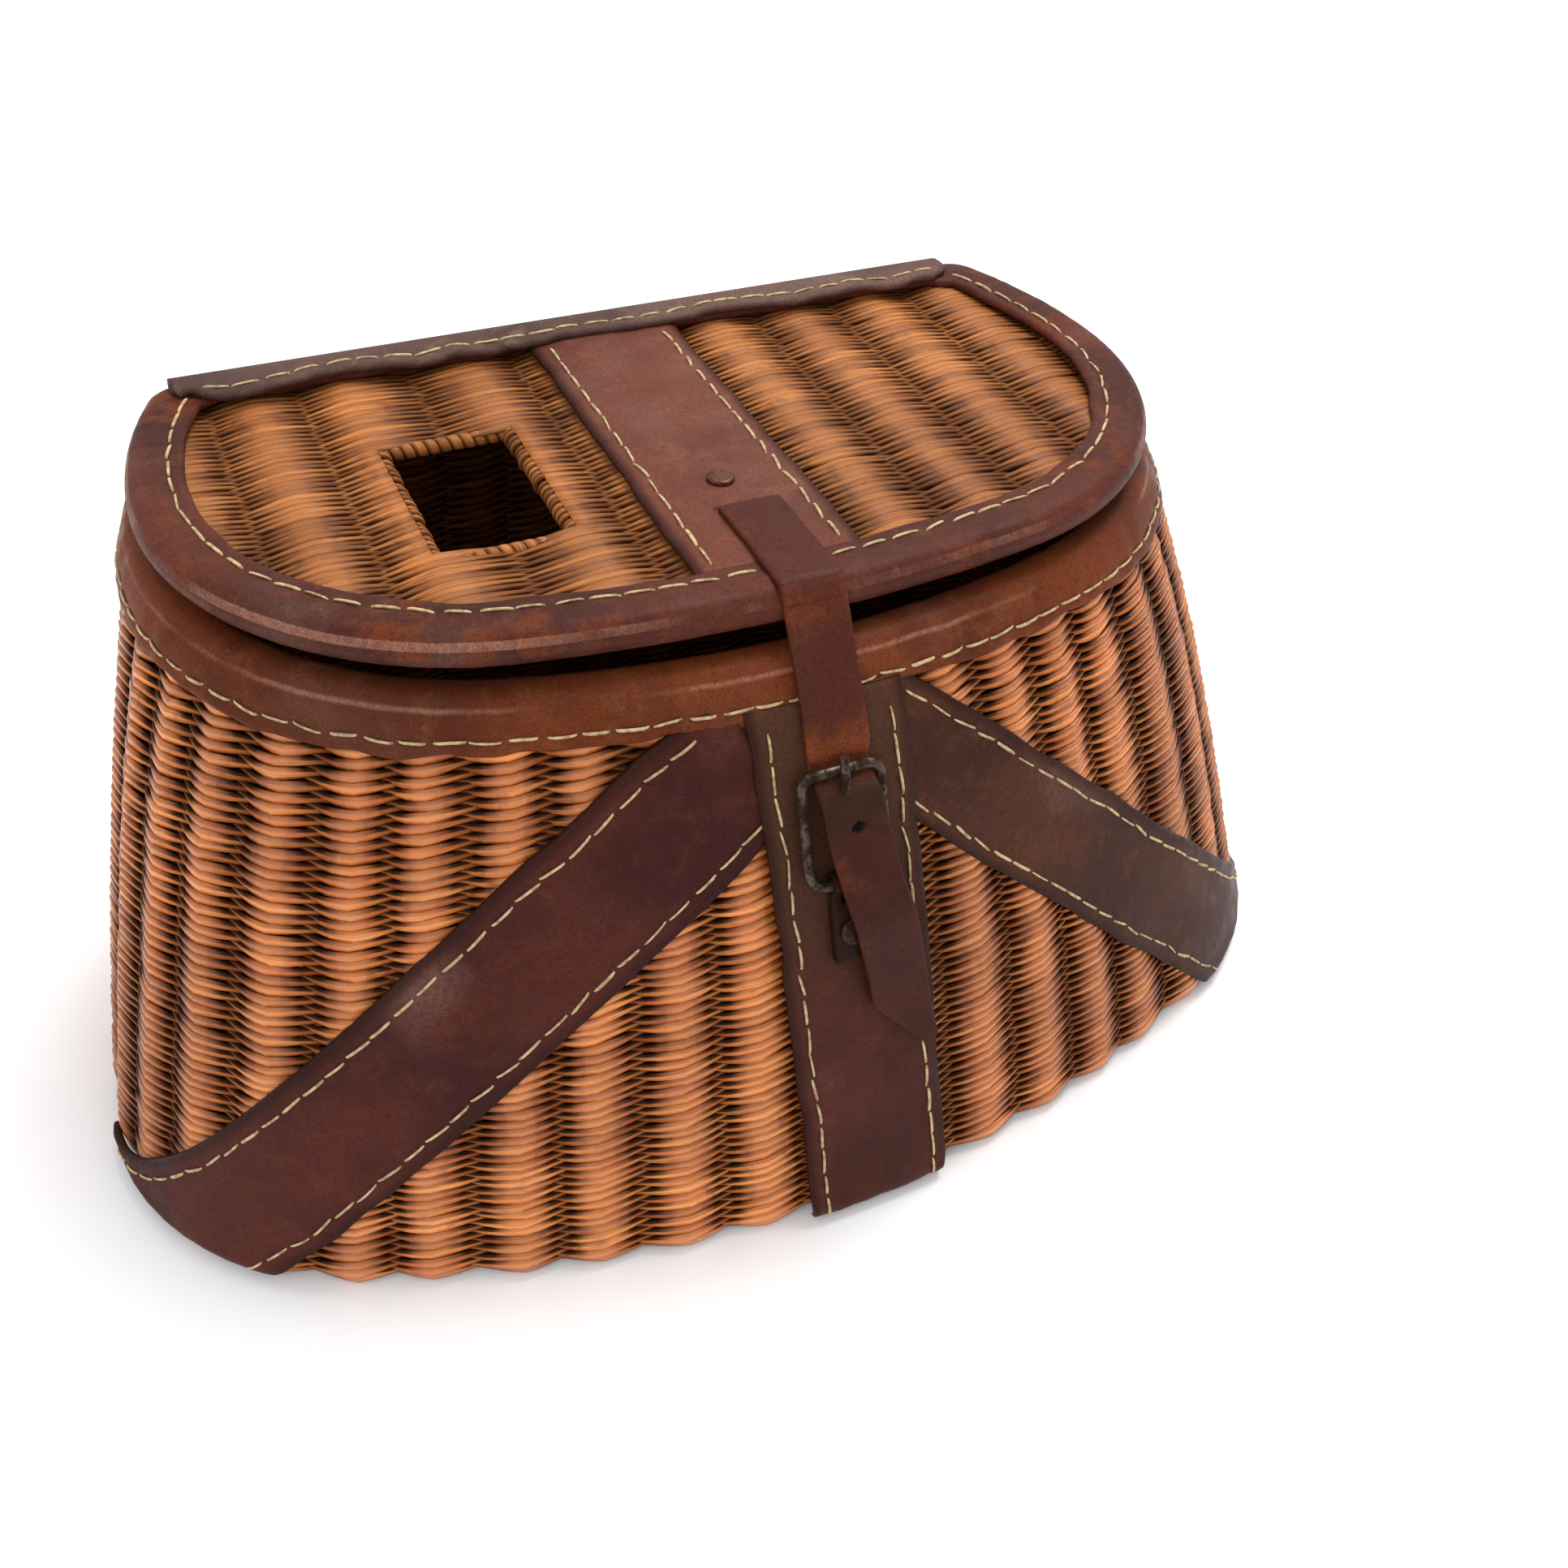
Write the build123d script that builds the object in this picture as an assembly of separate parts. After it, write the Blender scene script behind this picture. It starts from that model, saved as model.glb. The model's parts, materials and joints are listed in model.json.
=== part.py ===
from build123d import *
import os
from math import asin, atan2, cos, degrees, radians, sin

# A wicker fishing creel with leather trim. Millimetres, +Z up, -Y is the front.
# The origin lies on the floor under the middle of the basket's base.

# ---- driving dimensions -------------------------------------------------------------
# A basket outline is: half width, depth, distance from the flat back to the widest line,
# radius of the side's front arc, radius of its back arc, radius of the back corner.
BASE = (177.0, 198.0, 102.0, 75.0, 140.0, 25.0)
RIM = (134.8, 148.4, 55.0, 87.0, 97.0, 14.0)
LID = (134.9, 148.3, 59.0, 84.8, 126.0, 14.0)
RIM_HEIGHT = 150.4
FLARE = 0.78                # exponent of the wall's outward curve, 1 is a straight taper
LEVELS = (0, 2, 5, 22, 45, 70, 92, 110, 124, 133, 138, 141, 143.5, 145.5, 148, RIM_HEIGHT)
FOOT_ROUNDING = 3.0         # how far the basket's lowest edge is drawn in
FOOT_HEIGHT = 5.0

STAKES = 42                 # upright stakes in the wall, the wicker swells over each
WALL_GROOVE = 1.9           # how far the wicker goes in between two stakes
RIB_LEVELS = (0, 5, 45, 92, 124, 138)
LID_RIB = 24.8              # from rib to rib in the woven lid
LID_GROOVE = 1.1            # how far its wicker goes in between two ribs, on both faces
RIBS_LEFT = 4               # ribs of the lid from the fish hole to the left
RIBS_RIGHT = 8

WALL = 5.0                  # woven wall
FLOOR = 6.0                 # woven bottom
PANEL = 4.6                 # woven lid
ROD = 4.6                   # willow rods on the rim and the lid's edge
LEATHER = 2.2
THIN_LEATHER = 1.8
GAP = 0.3                   # air between curved faces that lie on each other

LID_SET_BACK = 2.2          # the lid's back edge stands this far behind the wall
LID_LIFT = 2.2              # air between rim and lid at the hinge
LID_AJAR = 1.1              # degrees that the closed lid stands up at the front

RIM_BINDING_LOW = 141.0
LID_BINDING = 15.0          # width of the leather on the lid's edge
LIP_ROUNDING = 0.95         # 1 would make the lid's edge a full half round
BAND_LOW = 1.0
FRONT_BAND = 40.0
FRONT_BAND_TOP_X = 1.2      # the front band leans a little to the right
FRONT_BAND_LOW_X = 7.0
LID_BAND = 42.0
HINGE_HALF_LENGTH = 104.0
HINGE_ON_LID = 15.0
HINGE_ON_WALL = 26.0
HINGE_BEND = 3.4            # the hinge leather's radius over the lid's back edge
HINGE_AIR = 0.5             # how loosely it lies there

# Edges of the diagonal bands, (distance to the side, height), each an arc of 3 points.
LEFT_UPPER = ((24, 149), (107, 86), (177, 4))
LEFT_LOWER = ((8, 119), (80, 62), (152, -3))
RIGHT_UPPER = ((16, 149), (83, 93), (174, 3))
RIGHT_LOWER = ((8, 121), (67, 66), (140, -4))

HOLE_X = -56.0
HOLE_Y = 23.5
HOLE_WIDTH = 31.0
HOLE_LENGTH = 50.0
HOLE_BAR = 3.2              # sticks at the hole's front and back edge

STRAP = 16.0
SLOT_Y = -7.0               # where the strap comes up through the lid band
SLOT = 12.0
POCKET_SPARE = 8.0          # how much longer the pocket under the lid band is than the strap in it
POCKET_SIDE = 1.0           # room beside the strap in it
RIVET_Y = 3.6
STRAP_END_Y = 13.0
STRAP_CLIMB = ((6.0, 0.0), (3.5, 0.13), (-1.0, 0.85), (-4.5, 1.0))  # (behind the slot, share)
LIP_TURNS = (100, 115, 130, 145, 160, 172)      # degrees round the lid's edge
STRAP_START_TURN = 178
STRAP_LEAD = 9.0            # how far over the top bar the strap starts to lie flat
STRAP_EASE = 0.8            # how far the strap bows out beside the buckle's bars
TAIL_START = ((0.0, 4.0, -0.4), (0.2, -3.0, 0.0), (2.0, -12.0, -0.6))  # (x, up the wall, out)
TAIL = ((0.3, 8.2), (0.6, 6.0), (0.84, 4.9), (1.0, 4.6))  # (share of its length, off the wicker)
TIP_WIDTH = 4.0
TIP_Z = 46.0
TAIL_SWING = 23.0           # the strap's tail hangs this many mm to the right at its tip

BUCKLE_X = 1.2
BUCKLE_WIDTH = 23.4
BUCKLE_WIRE = 2.8
BUCKLE_TOP_Z = 127.0        # height on the wall behind the top bar
BUCKLE_HEEL_Z = 99.6
BUCKLE_TOP_ROUND = 3.2
BUCKLE_HEEL_ROUND = 5.0
PRONG_WIRE = 2.4
PRONG_WIDTH = 4.0
PRONG_PAST = 4.5            # how far the prong reaches past the top bar

RING_X = 82.0
RING_Z = 92.0
RING_WIDTH = 30.0
RING_WIRE = 3.0
TAB_LENGTH = 30.0
TAB_WIDTH = 21.0
CHAPE_LENGTH = 22.0
CHAPE_WIDTH = 10.0
CHAPE_LEATHER = 1.5
CHAPE_AIR = 0.5             # between the front band and the buckle's leather

RIVET_HEAD = 3.6
RIVET_SHANK = 1.3
RIVET_CAP = 1.1             # height of a rivet's head
RIVET_DOME = 0.7            # radius of the head's upper edge, as a share of its height
CHAPE_RIVET = 0.62          # how far along the leather the rivet sits, as a share
TAB_RIVET = 0.6
RING_LEG = 3.0              # straight part of the D ring beside its bar
RING_ROUND = 2.4

# ---- values that follow -------------------------------------------------------------
FAR = 400.0                 # longer than any part
STEPS = 200                 # samples in a search along an outline
NEARLY = 0.001              # a smaller offset than this isn't worth making
OVER = 1.0                  # how far a cutting body reaches past what it cuts
SKIN = GAP + LEATHER        # from wicker to the outside of the leather on it
SHANK_HOLE = RIVET_SHANK + GAP
SHANK_HOLE_DEPTH = 50.0     # deeper than anything that is riveted
BACK_Y = BASE[1] / 2
WALL_TOP = RIM_HEIGHT - ROD - GAP
RIM_TOP = RIM_HEIGHT + SKIN
BAND_TOP = RIM_BINDING_LOW - GAP
LID_BACK_Y = BACK_Y + LID_SET_BACK
LID_LOW = RIM_TOP + LID_LIFT
PANEL_LOW = LID_LOW + SKIN
PANEL_TOP = PANEL_LOW + PANEL
LID_TOP = PANEL_TOP + SKIN
LIP = (LID_TOP - LID_LOW) / 2
LIP_Y = LID_BACK_Y - LID[1] + LIP
LIP_Z = (LID_TOP + LID_LOW) / 2
HINGE_Y = LID_BACK_Y + GAP + HINGE_AIR
HINGE_Z = RIM_TOP + LID_LIFT / 2
HINGE = Axis((0, HINGE_Y, HINGE_Z), (-1, 0, 0))


# ---- outlines -----------------------------------------------------------------------
def d_face(half_width, depth, widest, side_radius, back_radius, corner, back_y):
    """D-shaped face: flat back, rounded sides and one long arc across the front."""
    reach = depth - widest
    side_x = half_width - side_radius
    front_radius = (side_x**2 + reach**2 - side_radius**2) / (2 * (reach - side_radius))
    widest_y = back_y - widest
    front_y = back_y - depth
    turn = atan2(widest_y - front_y - front_radius, side_x)
    back_turn = asin(widest / back_radius)
    back_x = half_width - back_radius

    def on_side(angle):
        return side_x + side_radius * cos(angle), widest_y + side_radius * sin(angle)

    def on_back(angle):
        return back_x + back_radius * cos(angle), widest_y + back_radius * sin(angle)

    def flip(point):
        return -point[0], point[1]

    back_arc = [on_back(back_turn), on_back(back_turn / 2), on_back(0)]
    side_arc = [on_side(0), on_side(turn / 2), on_side(turn)]
    edges = [ThreePointArc(*arc) for arc in (back_arc, side_arc)]
    edges += [ThreePointArc(*[flip(point) for point in arc]) for arc in (back_arc, side_arc)]
    edges.append(Line(flip(back_arc[0]), back_arc[0]))
    edges.append(ThreePointArc(side_arc[2], (0, front_y), flip(side_arc[2])))
    face = make_face(edges).face()
    return face.fillet_2d(corner, face.vertices().sort_by(Axis.Y)[-2:])


def flare_share(z):
    """0 at the rim and 1 at the floor."""
    return max(0.0, (RIM_HEIGHT - z) / RIM_HEIGHT) ** FLARE


def wall_face(z, grow):
    """The basket's outer line at a height, moved outward by grow."""
    share = flare_share(z)
    face = d_face(*[rim + (base - rim) * share for rim, base in zip(RIM, BASE)], BACK_Y)
    low = max(0.0, 1 - z / FOOT_HEIGHT) if grow >= 0 else 0.0
    move = grow - FOOT_ROUNDING * low**2
    if abs(move) > NEARLY:
        face = offset(face, amount=move, kind=Kind.ARC).face()
    return Pos(0, 0, z) * face


def wall_body(grow, low, high):
    """All that lies inside the wall's line moved outward by grow, between two heights."""
    heights = [low] + [z for z in LEVELS if low < z < high] + [high]
    return loft([wall_face(z, grow) for z in heights], ruled=True)


def shell(inner, outer, low, high):
    return wall_body(outer, low, high) - wall_body(inner, low - OVER, high + OVER)


def front_y(z):
    """Y of the wicker at the middle of the front."""
    return BACK_Y - RIM[1] - (BASE[1] - RIM[1]) * flare_share(z)


def lid_slab(grow, low, high):
    face = d_face(*LID, LID_BACK_Y)
    if grow:
        face = offset(face, amount=grow, kind=Kind.ARC).face()
    return extrude(Pos(0, 0, low) * face, amount=high - low)


def closed(shape):
    """Tips a piece of the lid about the hinge line, to where it stands when closed."""
    return shape.rotate(HINGE, LID_AJAR)


def strip(centres, width, thickness):
    """A leather strip along (x, y, z) points, its width lying across them."""
    points = [Vector(*centre) for centre in centres]
    faces = []
    for i, point in enumerate(points):
        along = (points[min(i + 1, len(points) - 1)] - points[max(i - 1, 0)]).normalized()
        across = (Vector(1, 0, 0) - along * along.X).normalized()
        out = across.cross(along)
        half = across * (width[i] / 2)
        rise = out * (thickness / 2)
        corners = [point - half - rise, point + half - rise, point + half + rise, point - half + rise]
        faces.append(make_face(Polyline(*corners, close=True)).face())
    return loft(faces, ruled=True)


# ---- rivets and loops ---------------------------------------------------------------
def rivet(length):
    """A domed head just over the local origin and a shank that goes down to length."""
    dome = Pos(0, 0, GAP + RIVET_CAP / 2) * Cylinder(RIVET_HEAD, RIVET_CAP)
    dome = fillet(dome.edges().sort_by(Axis.Z)[-1], RIVET_DOME * RIVET_CAP)
    top = GAP + RIVET_CAP / 2
    stem = Pos(0, 0, (top - length) / 2) * Cylinder(RIVET_SHANK, length + top)
    return dome + stem


def washer(depth):
    ring = Cylinder(RIVET_HEAD, RIVET_CAP) - Cylinder(RIVET_SHANK, RIVET_CAP)
    return Pos(0, 0, -depth - GAP - RIVET_CAP / 2) * ring


def shank_hole():
    return Cylinder(SHANK_HOLE, SHANK_HOLE_DEPTH)


def loop_tab(width, length, leather, wire):
    """Doubled leather lying on Z = 0 and folded round a bar along X over the origin."""
    inner = wire / 2 + GAP
    outer = inner + leather
    body = Pos(0, 0, outer) * Cylinder(outer, width, rotation=(0, 90, 0))
    body += Pos(0, -length / 2, leather) * Box(width, length, 2 * leather)
    return body - Pos(0, 0, outer) * Cylinder(inner, width + OVER, rotation=(0, 90, 0))


# ---- basket -------------------------------------------------------------------------
def plane_on_front(x, low_z, high_z):
    """Local frame on the front wicker: X right, Y up along the wall, Z outward."""
    low = Vector(x, front_y(low_z), low_z)
    high = Vector(x, front_y(high_z), high_z)
    return Location(Plane(origin=low, x_dir=(1, 0, 0), z_dir=Vector(1, 0, 0).cross(high - low)))


BUCKLE_PLACE = plane_on_front(BUCKLE_X, BUCKLE_HEEL_Z, BUCKLE_TOP_Z)
BAR_RUN = Vector(0, front_y(BUCKLE_TOP_Z) - front_y(BUCKLE_HEEL_Z),
                 BUCKLE_TOP_Z - BUCKLE_HEEL_Z).length
CHAPE_BASE = SKIN + CHAPE_AIR
HEEL_OFF = CHAPE_BASE + BUCKLE_WIRE / 2 + GAP + CHAPE_LEATHER
CHAPE_RIVET_TOP = CHAPE_BASE + 2 * CHAPE_LEATHER
CHAPE_RIVET_PLACE = BUCKLE_PLACE * Pos(0, -CHAPE_RIVET * CHAPE_LENGTH, CHAPE_RIVET_TOP)
CHAPE_RIVET_DEPTH = CHAPE_RIVET_TOP + WALL + 2 * GAP

TAB_PLACES = [Location(Plane(origin=(side * RING_X, BACK_Y + GAP, RING_Z),
                             x_dir=(1, 0, 0), z_dir=(0, 1, 0))) for side in (-1, 1)]
TAB_RIVET_TOP = 2 * LEATHER
TAB_RIVET_PLACES = [place * Pos(0, -TAB_RIVET * TAB_LENGTH, TAB_RIVET_TOP) for place in TAB_PLACES]
TAB_RIVET_DEPTH = TAB_RIVET_TOP + WALL + 2 * GAP
RING_OFF = RING_WIRE / 2 + GAP + LEATHER


def front_middle(line):
    """Where on a closed D outline the middle of the front lies (0 to 1), and which way it runs."""
    near = min((step / STEPS for step in range(STEPS)), key=lambda share: (line @ share).Y)
    run = (line % near).X
    return near - (line @ near).X / run / line.length, 1 if run > 0 else -1


def ribbed_face(z):
    """The wicker's outer line at a height: an arc over each stake, drawn in between them."""
    line = wall_face(z, 0).outer_wire()
    start, turn = front_middle(line)
    points = []
    for step in range(2 * STAKES):
        share = (start + turn * step / (2 * STAKES)) % 1
        outward = (line % share).cross(Vector(0, 0, turn))
        depth = WALL_GROOVE if step % 2 else 0
        points.append(line @ share - outward * depth)
    arcs = []
    for stake in range(STAKES):
        arcs.append(ThreePointArc(points[2 * stake - 1], points[2 * stake], points[2 * stake + 1]))
    return make_face(arcs).face()


def basket_wall():
    heights = RIB_LEVELS + (WALL_TOP,)
    body = loft([ribbed_face(z) for z in heights], ruled=True)
    body -= wall_body(-WALL, -OVER, WALL_TOP + OVER)
    for place in [CHAPE_RIVET_PLACE] + TAB_RIVET_PLACES:
        body -= place * shank_hole()
    return body


def basket_bottom():
    return wall_body(-WALL - GAP, 0, FLOOR)


def rim_rod():
    low = WALL_TOP + GAP
    return wall_body(0, low, RIM_HEIGHT) - wall_body(-WALL, low - OVER, RIM_HEIGHT + OVER)


def rim_binding():
    """Leather folded over the mouth: outside, over the top and down the inside."""
    low = RIM_BINDING_LOW
    whole = wall_body(SKIN, low, RIM_TOP) - wall_body(-WALL - SKIN, low - OVER, RIM_TOP + OVER)
    wicker = wall_body(GAP, low - OVER, RIM_HEIGHT + GAP)
    wicker -= wall_body(-WALL - GAP, low - 2 * OVER, RIM_HEIGHT + OVER)
    return whole - wicker


# ---- leather bands on the basket ----------------------------------------------------
def front_block(half):
    """Block behind the front band's outline as seen from the front."""
    low = (BAND_LOW - OVER, FRONT_BAND_LOW_X)
    high = (BAND_TOP + OVER, FRONT_BAND_TOP_X)
    corners = [(low[1] - half, -FAR, low[0]), (low[1] + half, -FAR, low[0]),
               (high[1] + half, -FAR, high[0]), (high[1] - half, -FAR, high[0])]
    return extrude(make_face(Polyline(*corners, close=True)), amount=FAR, dir=(0, 1, 0))


def front_band():
    band = shell(GAP, SKIN, BAND_LOW, BAND_TOP) & front_block(FRONT_BAND / 2)
    return band - CHAPE_RIVET_PLACE * shank_hole()


def diagonal_band(side, upper, lower):
    """Band from the front band's top down round the lower corner on one side."""
    upper = [(side * x, -FAR, z) for x, z in upper]
    lower = [(side * x, -FAR, z) for x, z in lower]
    edges = [ThreePointArc(*upper), Line(upper[2], lower[2]),
             ThreePointArc(*lower), Line(lower[0], upper[0])]
    widest_y = BACK_Y - BASE[2]
    block = extrude(make_face(edges), amount=FAR + widest_y, dir=(0, 1, 0))
    return (shell(GAP, SKIN, BAND_LOW, BAND_TOP) & block) - front_block(FRONT_BAND / 2 + GAP)


# ---- buckle -------------------------------------------------------------------------
def buckle_chape():
    body = loop_tab(CHAPE_WIDTH, CHAPE_LENGTH, CHAPE_LEATHER, BUCKLE_WIRE)
    eye = BUCKLE_WIRE / 2 + 2 * GAP + CHAPE_LEATHER
    body -= Pos(0, 0, HEEL_OFF - CHAPE_BASE) * Box(PRONG_WIDTH + 2 * GAP, 2 * eye, 2 * eye)
    return BUCKLE_PLACE * Pos(0, 0, CHAPE_BASE) * body - CHAPE_RIVET_PLACE * shank_hole()


def buckle_frame():
    """Wire frame with a straight top bar and rounder corners at its heel."""
    half = (BUCKLE_WIDTH - BUCKLE_WIRE) / 2
    outline = Polyline((-half, 0), (half, 0), (half, BAR_RUN), (-half, BAR_RUN), close=True)
    face = make_face(outline).face()
    low = face.vertices().sort_by(Axis.Y)[:2]
    face = face.fillet_2d(BUCKLE_HEEL_ROUND, low)
    face = face.fillet_2d(BUCKLE_TOP_ROUND, face.vertices().sort_by(Axis.Y)[-2:])
    path = face.outer_wire()
    start = Plane(origin=path @ 0, z_dir=path % 0)
    ring = sweep(start * Circle(BUCKLE_WIRE / 2), path=path)
    return BUCKLE_PLACE * Pos(0, 0, HEEL_OFF) * ring


def buckle_prong():
    """Tongue round the heel bar, resting over the front of the top bar."""
    inner = BUCKLE_WIRE / 2 + GAP
    rise = BUCKLE_WIRE / 2 + GAP + PRONG_WIRE / 2
    length = BAR_RUN + PRONG_PAST
    tongue = Pos(0, length / 2, 0) * Cylinder(PRONG_WIRE / 2, length, rotation=(90, 0, 0))
    body = Cylinder(inner + CHAPE_LEATHER, PRONG_WIDTH, rotation=(0, 90, 0))
    body += Rot(degrees(asin(rise / BAR_RUN)), 0, 0) * tongue
    body -= Cylinder(inner, FAR, rotation=(0, 90, 0))
    return BUCKLE_PLACE * Pos(0, 0, HEEL_OFF) * body


# ---- lid ----------------------------------------------------------------------------
LID_RIVET_PLACE = Pos(0, RIVET_Y, LID_TOP)
LID_RIVET_DEPTH = LID_TOP - PANEL_LOW + GAP


def hole_bars():
    """The wrapped sticks that end the fish hole at its front and back."""
    away = (HOLE_LENGTH + HOLE_BAR) / 2
    bar = Cylinder(HOLE_BAR / 2, HOLE_WIDTH + 2 * HOLE_BAR, rotation=(0, 90, 0))
    middle = (PANEL_LOW + PANEL_TOP) / 2
    return [Pos(HOLE_X, HOLE_Y + sign * away, middle) * bar for sign in (-1, 1)]


def ribbed_plate():
    """Woven plate with an arc over and under each rib, the ribs running front to back."""
    left, right = [HOLE_X + side * (HOLE_WIDTH / 2 + GAP) for side in (-1, 1)]
    ribs = [left - LID_RIB * step for step in reversed(range(RIBS_LEFT))]
    ribs += [right + LID_RIB * step for step in range(RIBS_RIGHT)]
    grooves = [ribs[0] - LID_RIB / 2]
    grooves += [(a + b) / 2 for a, b in zip(ribs, ribs[1:])]
    grooves.append(ribs[-1] + LID_RIB / 2)
    high, low = PANEL_TOP - LID_GROOVE, PANEL_LOW + LID_GROOVE
    edges = [Line((grooves[0], low), (grooves[0], high)), Line((grooves[-1], low), (grooves[-1], high))]
    for start, rib, end in zip(grooves, ribs, grooves[1:]):
        edges.append(ThreePointArc((start, high), (rib, PANEL_TOP), (end, high)))
        edges.append(ThreePointArc((start, low), (rib, PANEL_LOW), (end, low)))
    upright = Plane(origin=(0, LID_BACK_Y, 0), x_dir=(1, 0, 0), z_dir=(0, -1, 0))
    return extrude(upright * make_face(edges).face(), amount=LID[1])


def lid_panel():
    body = lid_slab(-SKIN - ROD - GAP, PANEL_LOW, PANEL_TOP) & ribbed_plate()
    body -= Pos(HOLE_X, HOLE_Y, PANEL_TOP) * Box(HOLE_WIDTH, HOLE_LENGTH, 4 * PANEL)
    room = Cylinder(HOLE_BAR / 2 + GAP, HOLE_WIDTH + 2 * HOLE_BAR + OVER, rotation=(0, 90, 0))
    for bar in hole_bars():
        body -= Pos(*bar.center()) * room
    pocket = Box(STRAP + 2 * POCKET_SIDE, STRAP_END_Y - SLOT_Y + POCKET_SPARE, 2 * (THIN_LEATHER + 2 * GAP))
    body -= Pos(0, (STRAP_END_Y + SLOT_Y) / 2, PANEL_TOP) * pocket
    return closed(body - LID_RIVET_PLACE * shank_hole())


def lid_frame_rod():
    body = lid_slab(-SKIN, PANEL_LOW, PANEL_TOP)
    return closed(body - lid_slab(-SKIN - ROD, PANEL_LOW - OVER, PANEL_TOP + OVER))


def lid_binding():
    body = lid_slab(0, LID_LOW, LID_TOP)
    rims = [edge for edge in body.edges() if abs(edge.center().Z - LIP_Z) > LIP / 2]
    body = fillet(rims, LIP * LIP_ROUNDING)
    body -= lid_slab(-LID_BINDING, LID_LOW - OVER, LID_TOP + OVER)
    return closed(body - lid_slab(-SKIN + GAP, PANEL_LOW - GAP, PANEL_TOP + GAP))


def lid_band():
    middle_y = LID_BACK_Y - LID[1] / 2
    body = Pos(0, middle_y, LID_TOP - LEATHER / 2) * Box(LID_BAND, LID[1], LEATHER)
    body &= lid_slab(-LID_BINDING - GAP, PANEL_TOP, LID_TOP)
    body -= Pos(0, SLOT_Y - OVER, LID_TOP) * Box(STRAP + OVER, SLOT, 4 * LEATHER)
    return closed(body - LID_RIVET_PLACE * shank_hole())


def strap_anchor():
    """Upper part of the strap: riveted under the lid band, out of the slot, over the lip."""
    under = PANEL_TOP - THIN_LEATHER / 2
    over = LID_TOP + GAP + THIN_LEATHER / 2
    bend = LIP + GAP + THIN_LEATHER / 2
    points = [(0, STRAP_END_Y, under)]
    points += [(0, SLOT_Y + behind, under + (over - under) * share) for behind, share in STRAP_CLIMB]
    points.append((0, LIP_Y + OVER, over))
    for angle in LIP_TURNS:
        turn = radians(angle)
        points.append((0, LIP_Y + bend * cos(turn), LIP_Z + bend * sin(turn)))
    body = strip(points, [STRAP] * len(points), THIN_LEATHER)
    return closed(body - LID_RIVET_PLACE * shank_hole())


def strap():
    """Lower part of the strap: down to the buckle, through it, and the loose tail."""
    bend = LIP + GAP + THIN_LEATHER / 2
    turn = radians(STRAP_START_TURN)
    lip_y, lip_z = on_closed_lid(LIP_Y + bend * cos(turn), LIP_Z + bend * sin(turn))
    clear = HEEL_OFF + BUCKLE_WIRE / 2 + CHAPE_LEATHER + THIN_LEATHER / 2 + 3 * GAP
    behind = (SKIN + HEEL_OFF - BUCKLE_WIRE / 2) / 2
    local = [(0, BAR_RUN + STRAP_LEAD, behind + STRAP_EASE), (0, BAR_RUN, behind),
             (0, BAR_RUN - 2 * BUCKLE_WIRE, behind + STRAP_EASE)]
    local += [(x, up, clear + out) for x, up, out in TAIL_START]
    points = [(0, lip_y, lip_z), (0, lip_y - BUCKLE_WIRE / 2, lip_z - BUCKLE_WIRE * 1.5)]
    for x, along, off in local:
        spot = (BUCKLE_PLACE * Pos(x, along, off)).position
        points.append((spot.X, spot.Y, spot.Z))
    start_x, start_z = points[-1][0], points[-1][2]
    for share, off in TAIL:
        z = start_z + (TIP_Z - start_z) * share
        x = start_x + (TAIL_SWING - start_x) * share
        points.append((x, front_y(z) - off, z))
    widths = [STRAP] * (len(points) - 1) + [TIP_WIDTH]
    body = strip(points, widths, THIN_LEATHER)
    room = BUCKLE_PLACE * Pos(0, 0, HEEL_OFF)
    room *= Rot(degrees(asin((BUCKLE_WIRE / 2 + GAP + PRONG_WIRE / 2) / BAR_RUN)), 0, 0)
    length = BAR_RUN + PRONG_PAST + 2 * OVER
    tongue = Cylinder(PRONG_WIRE / 2 + 2 * GAP, length, rotation=(90, 0, 0))
    return body - room * Pos(0, length / 2, 0) * tongue


def on_closed_lid(y, z):
    """Where a point of the lid lies once the lid is tipped to its closed stand."""
    turn = radians(LID_AJAR)
    over, up = y - HINGE_Y, z - HINGE_Z
    return (HINGE_Y + over * cos(turn) + up * sin(turn),
            HINGE_Z - over * sin(turn) + up * cos(turn))


def hinge_strip():
    """Leather from the lid's top over its back edge and down the back of the wall."""
    off = GAP + THIN_LEATHER / 2 + HINGE_AIR
    over, behind = LID_TOP + off, LID_BACK_Y + off
    points = [(0, LID_BACK_Y - HINGE_ON_LID, over)]
    for turn in (radians(90), radians(45), 0):
        points.append((0, behind - HINGE_BEND * (1 - cos(turn)), over - HINGE_BEND * (1 - sin(turn))))
    points += [(0, behind, LID_LOW), (0, behind, RIM_TOP), (0, behind, RIM_TOP - HINGE_ON_WALL)]
    return strip(points, [2 * HINGE_HALF_LENGTH] * len(points), THIN_LEATHER)


# ---- harness loops on the back ------------------------------------------------------
def harness_tab(place, rivet_place):
    body = loop_tab(TAB_WIDTH, TAB_LENGTH, LEATHER, RING_WIRE)
    return place * body - rivet_place * shank_hole()


def harness_ring(place):
    """D ring: a straight bar in the leather loop and a half round below it."""
    half = RING_WIDTH / 2
    bow = ThreePointArc((half, RING_LEG), (0, RING_LEG + half), (-half, RING_LEG))
    outline = [Line((-half, 0), (half, 0)), Line((half, 0), (half, RING_LEG)),
               bow, Line((-half, RING_LEG), (-half, 0))]
    face = make_face(outline).face()
    face = face.fillet_2d(RING_ROUND, face.vertices().sort_by(Axis.Y)[:2])
    path = face.outer_wire()
    ring = sweep(Plane(origin=path @ 0, z_dir=path % 0) * Circle(RING_WIRE / 2), path=path)
    return place * Pos(0, 0, RING_OFF) * ring


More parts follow.
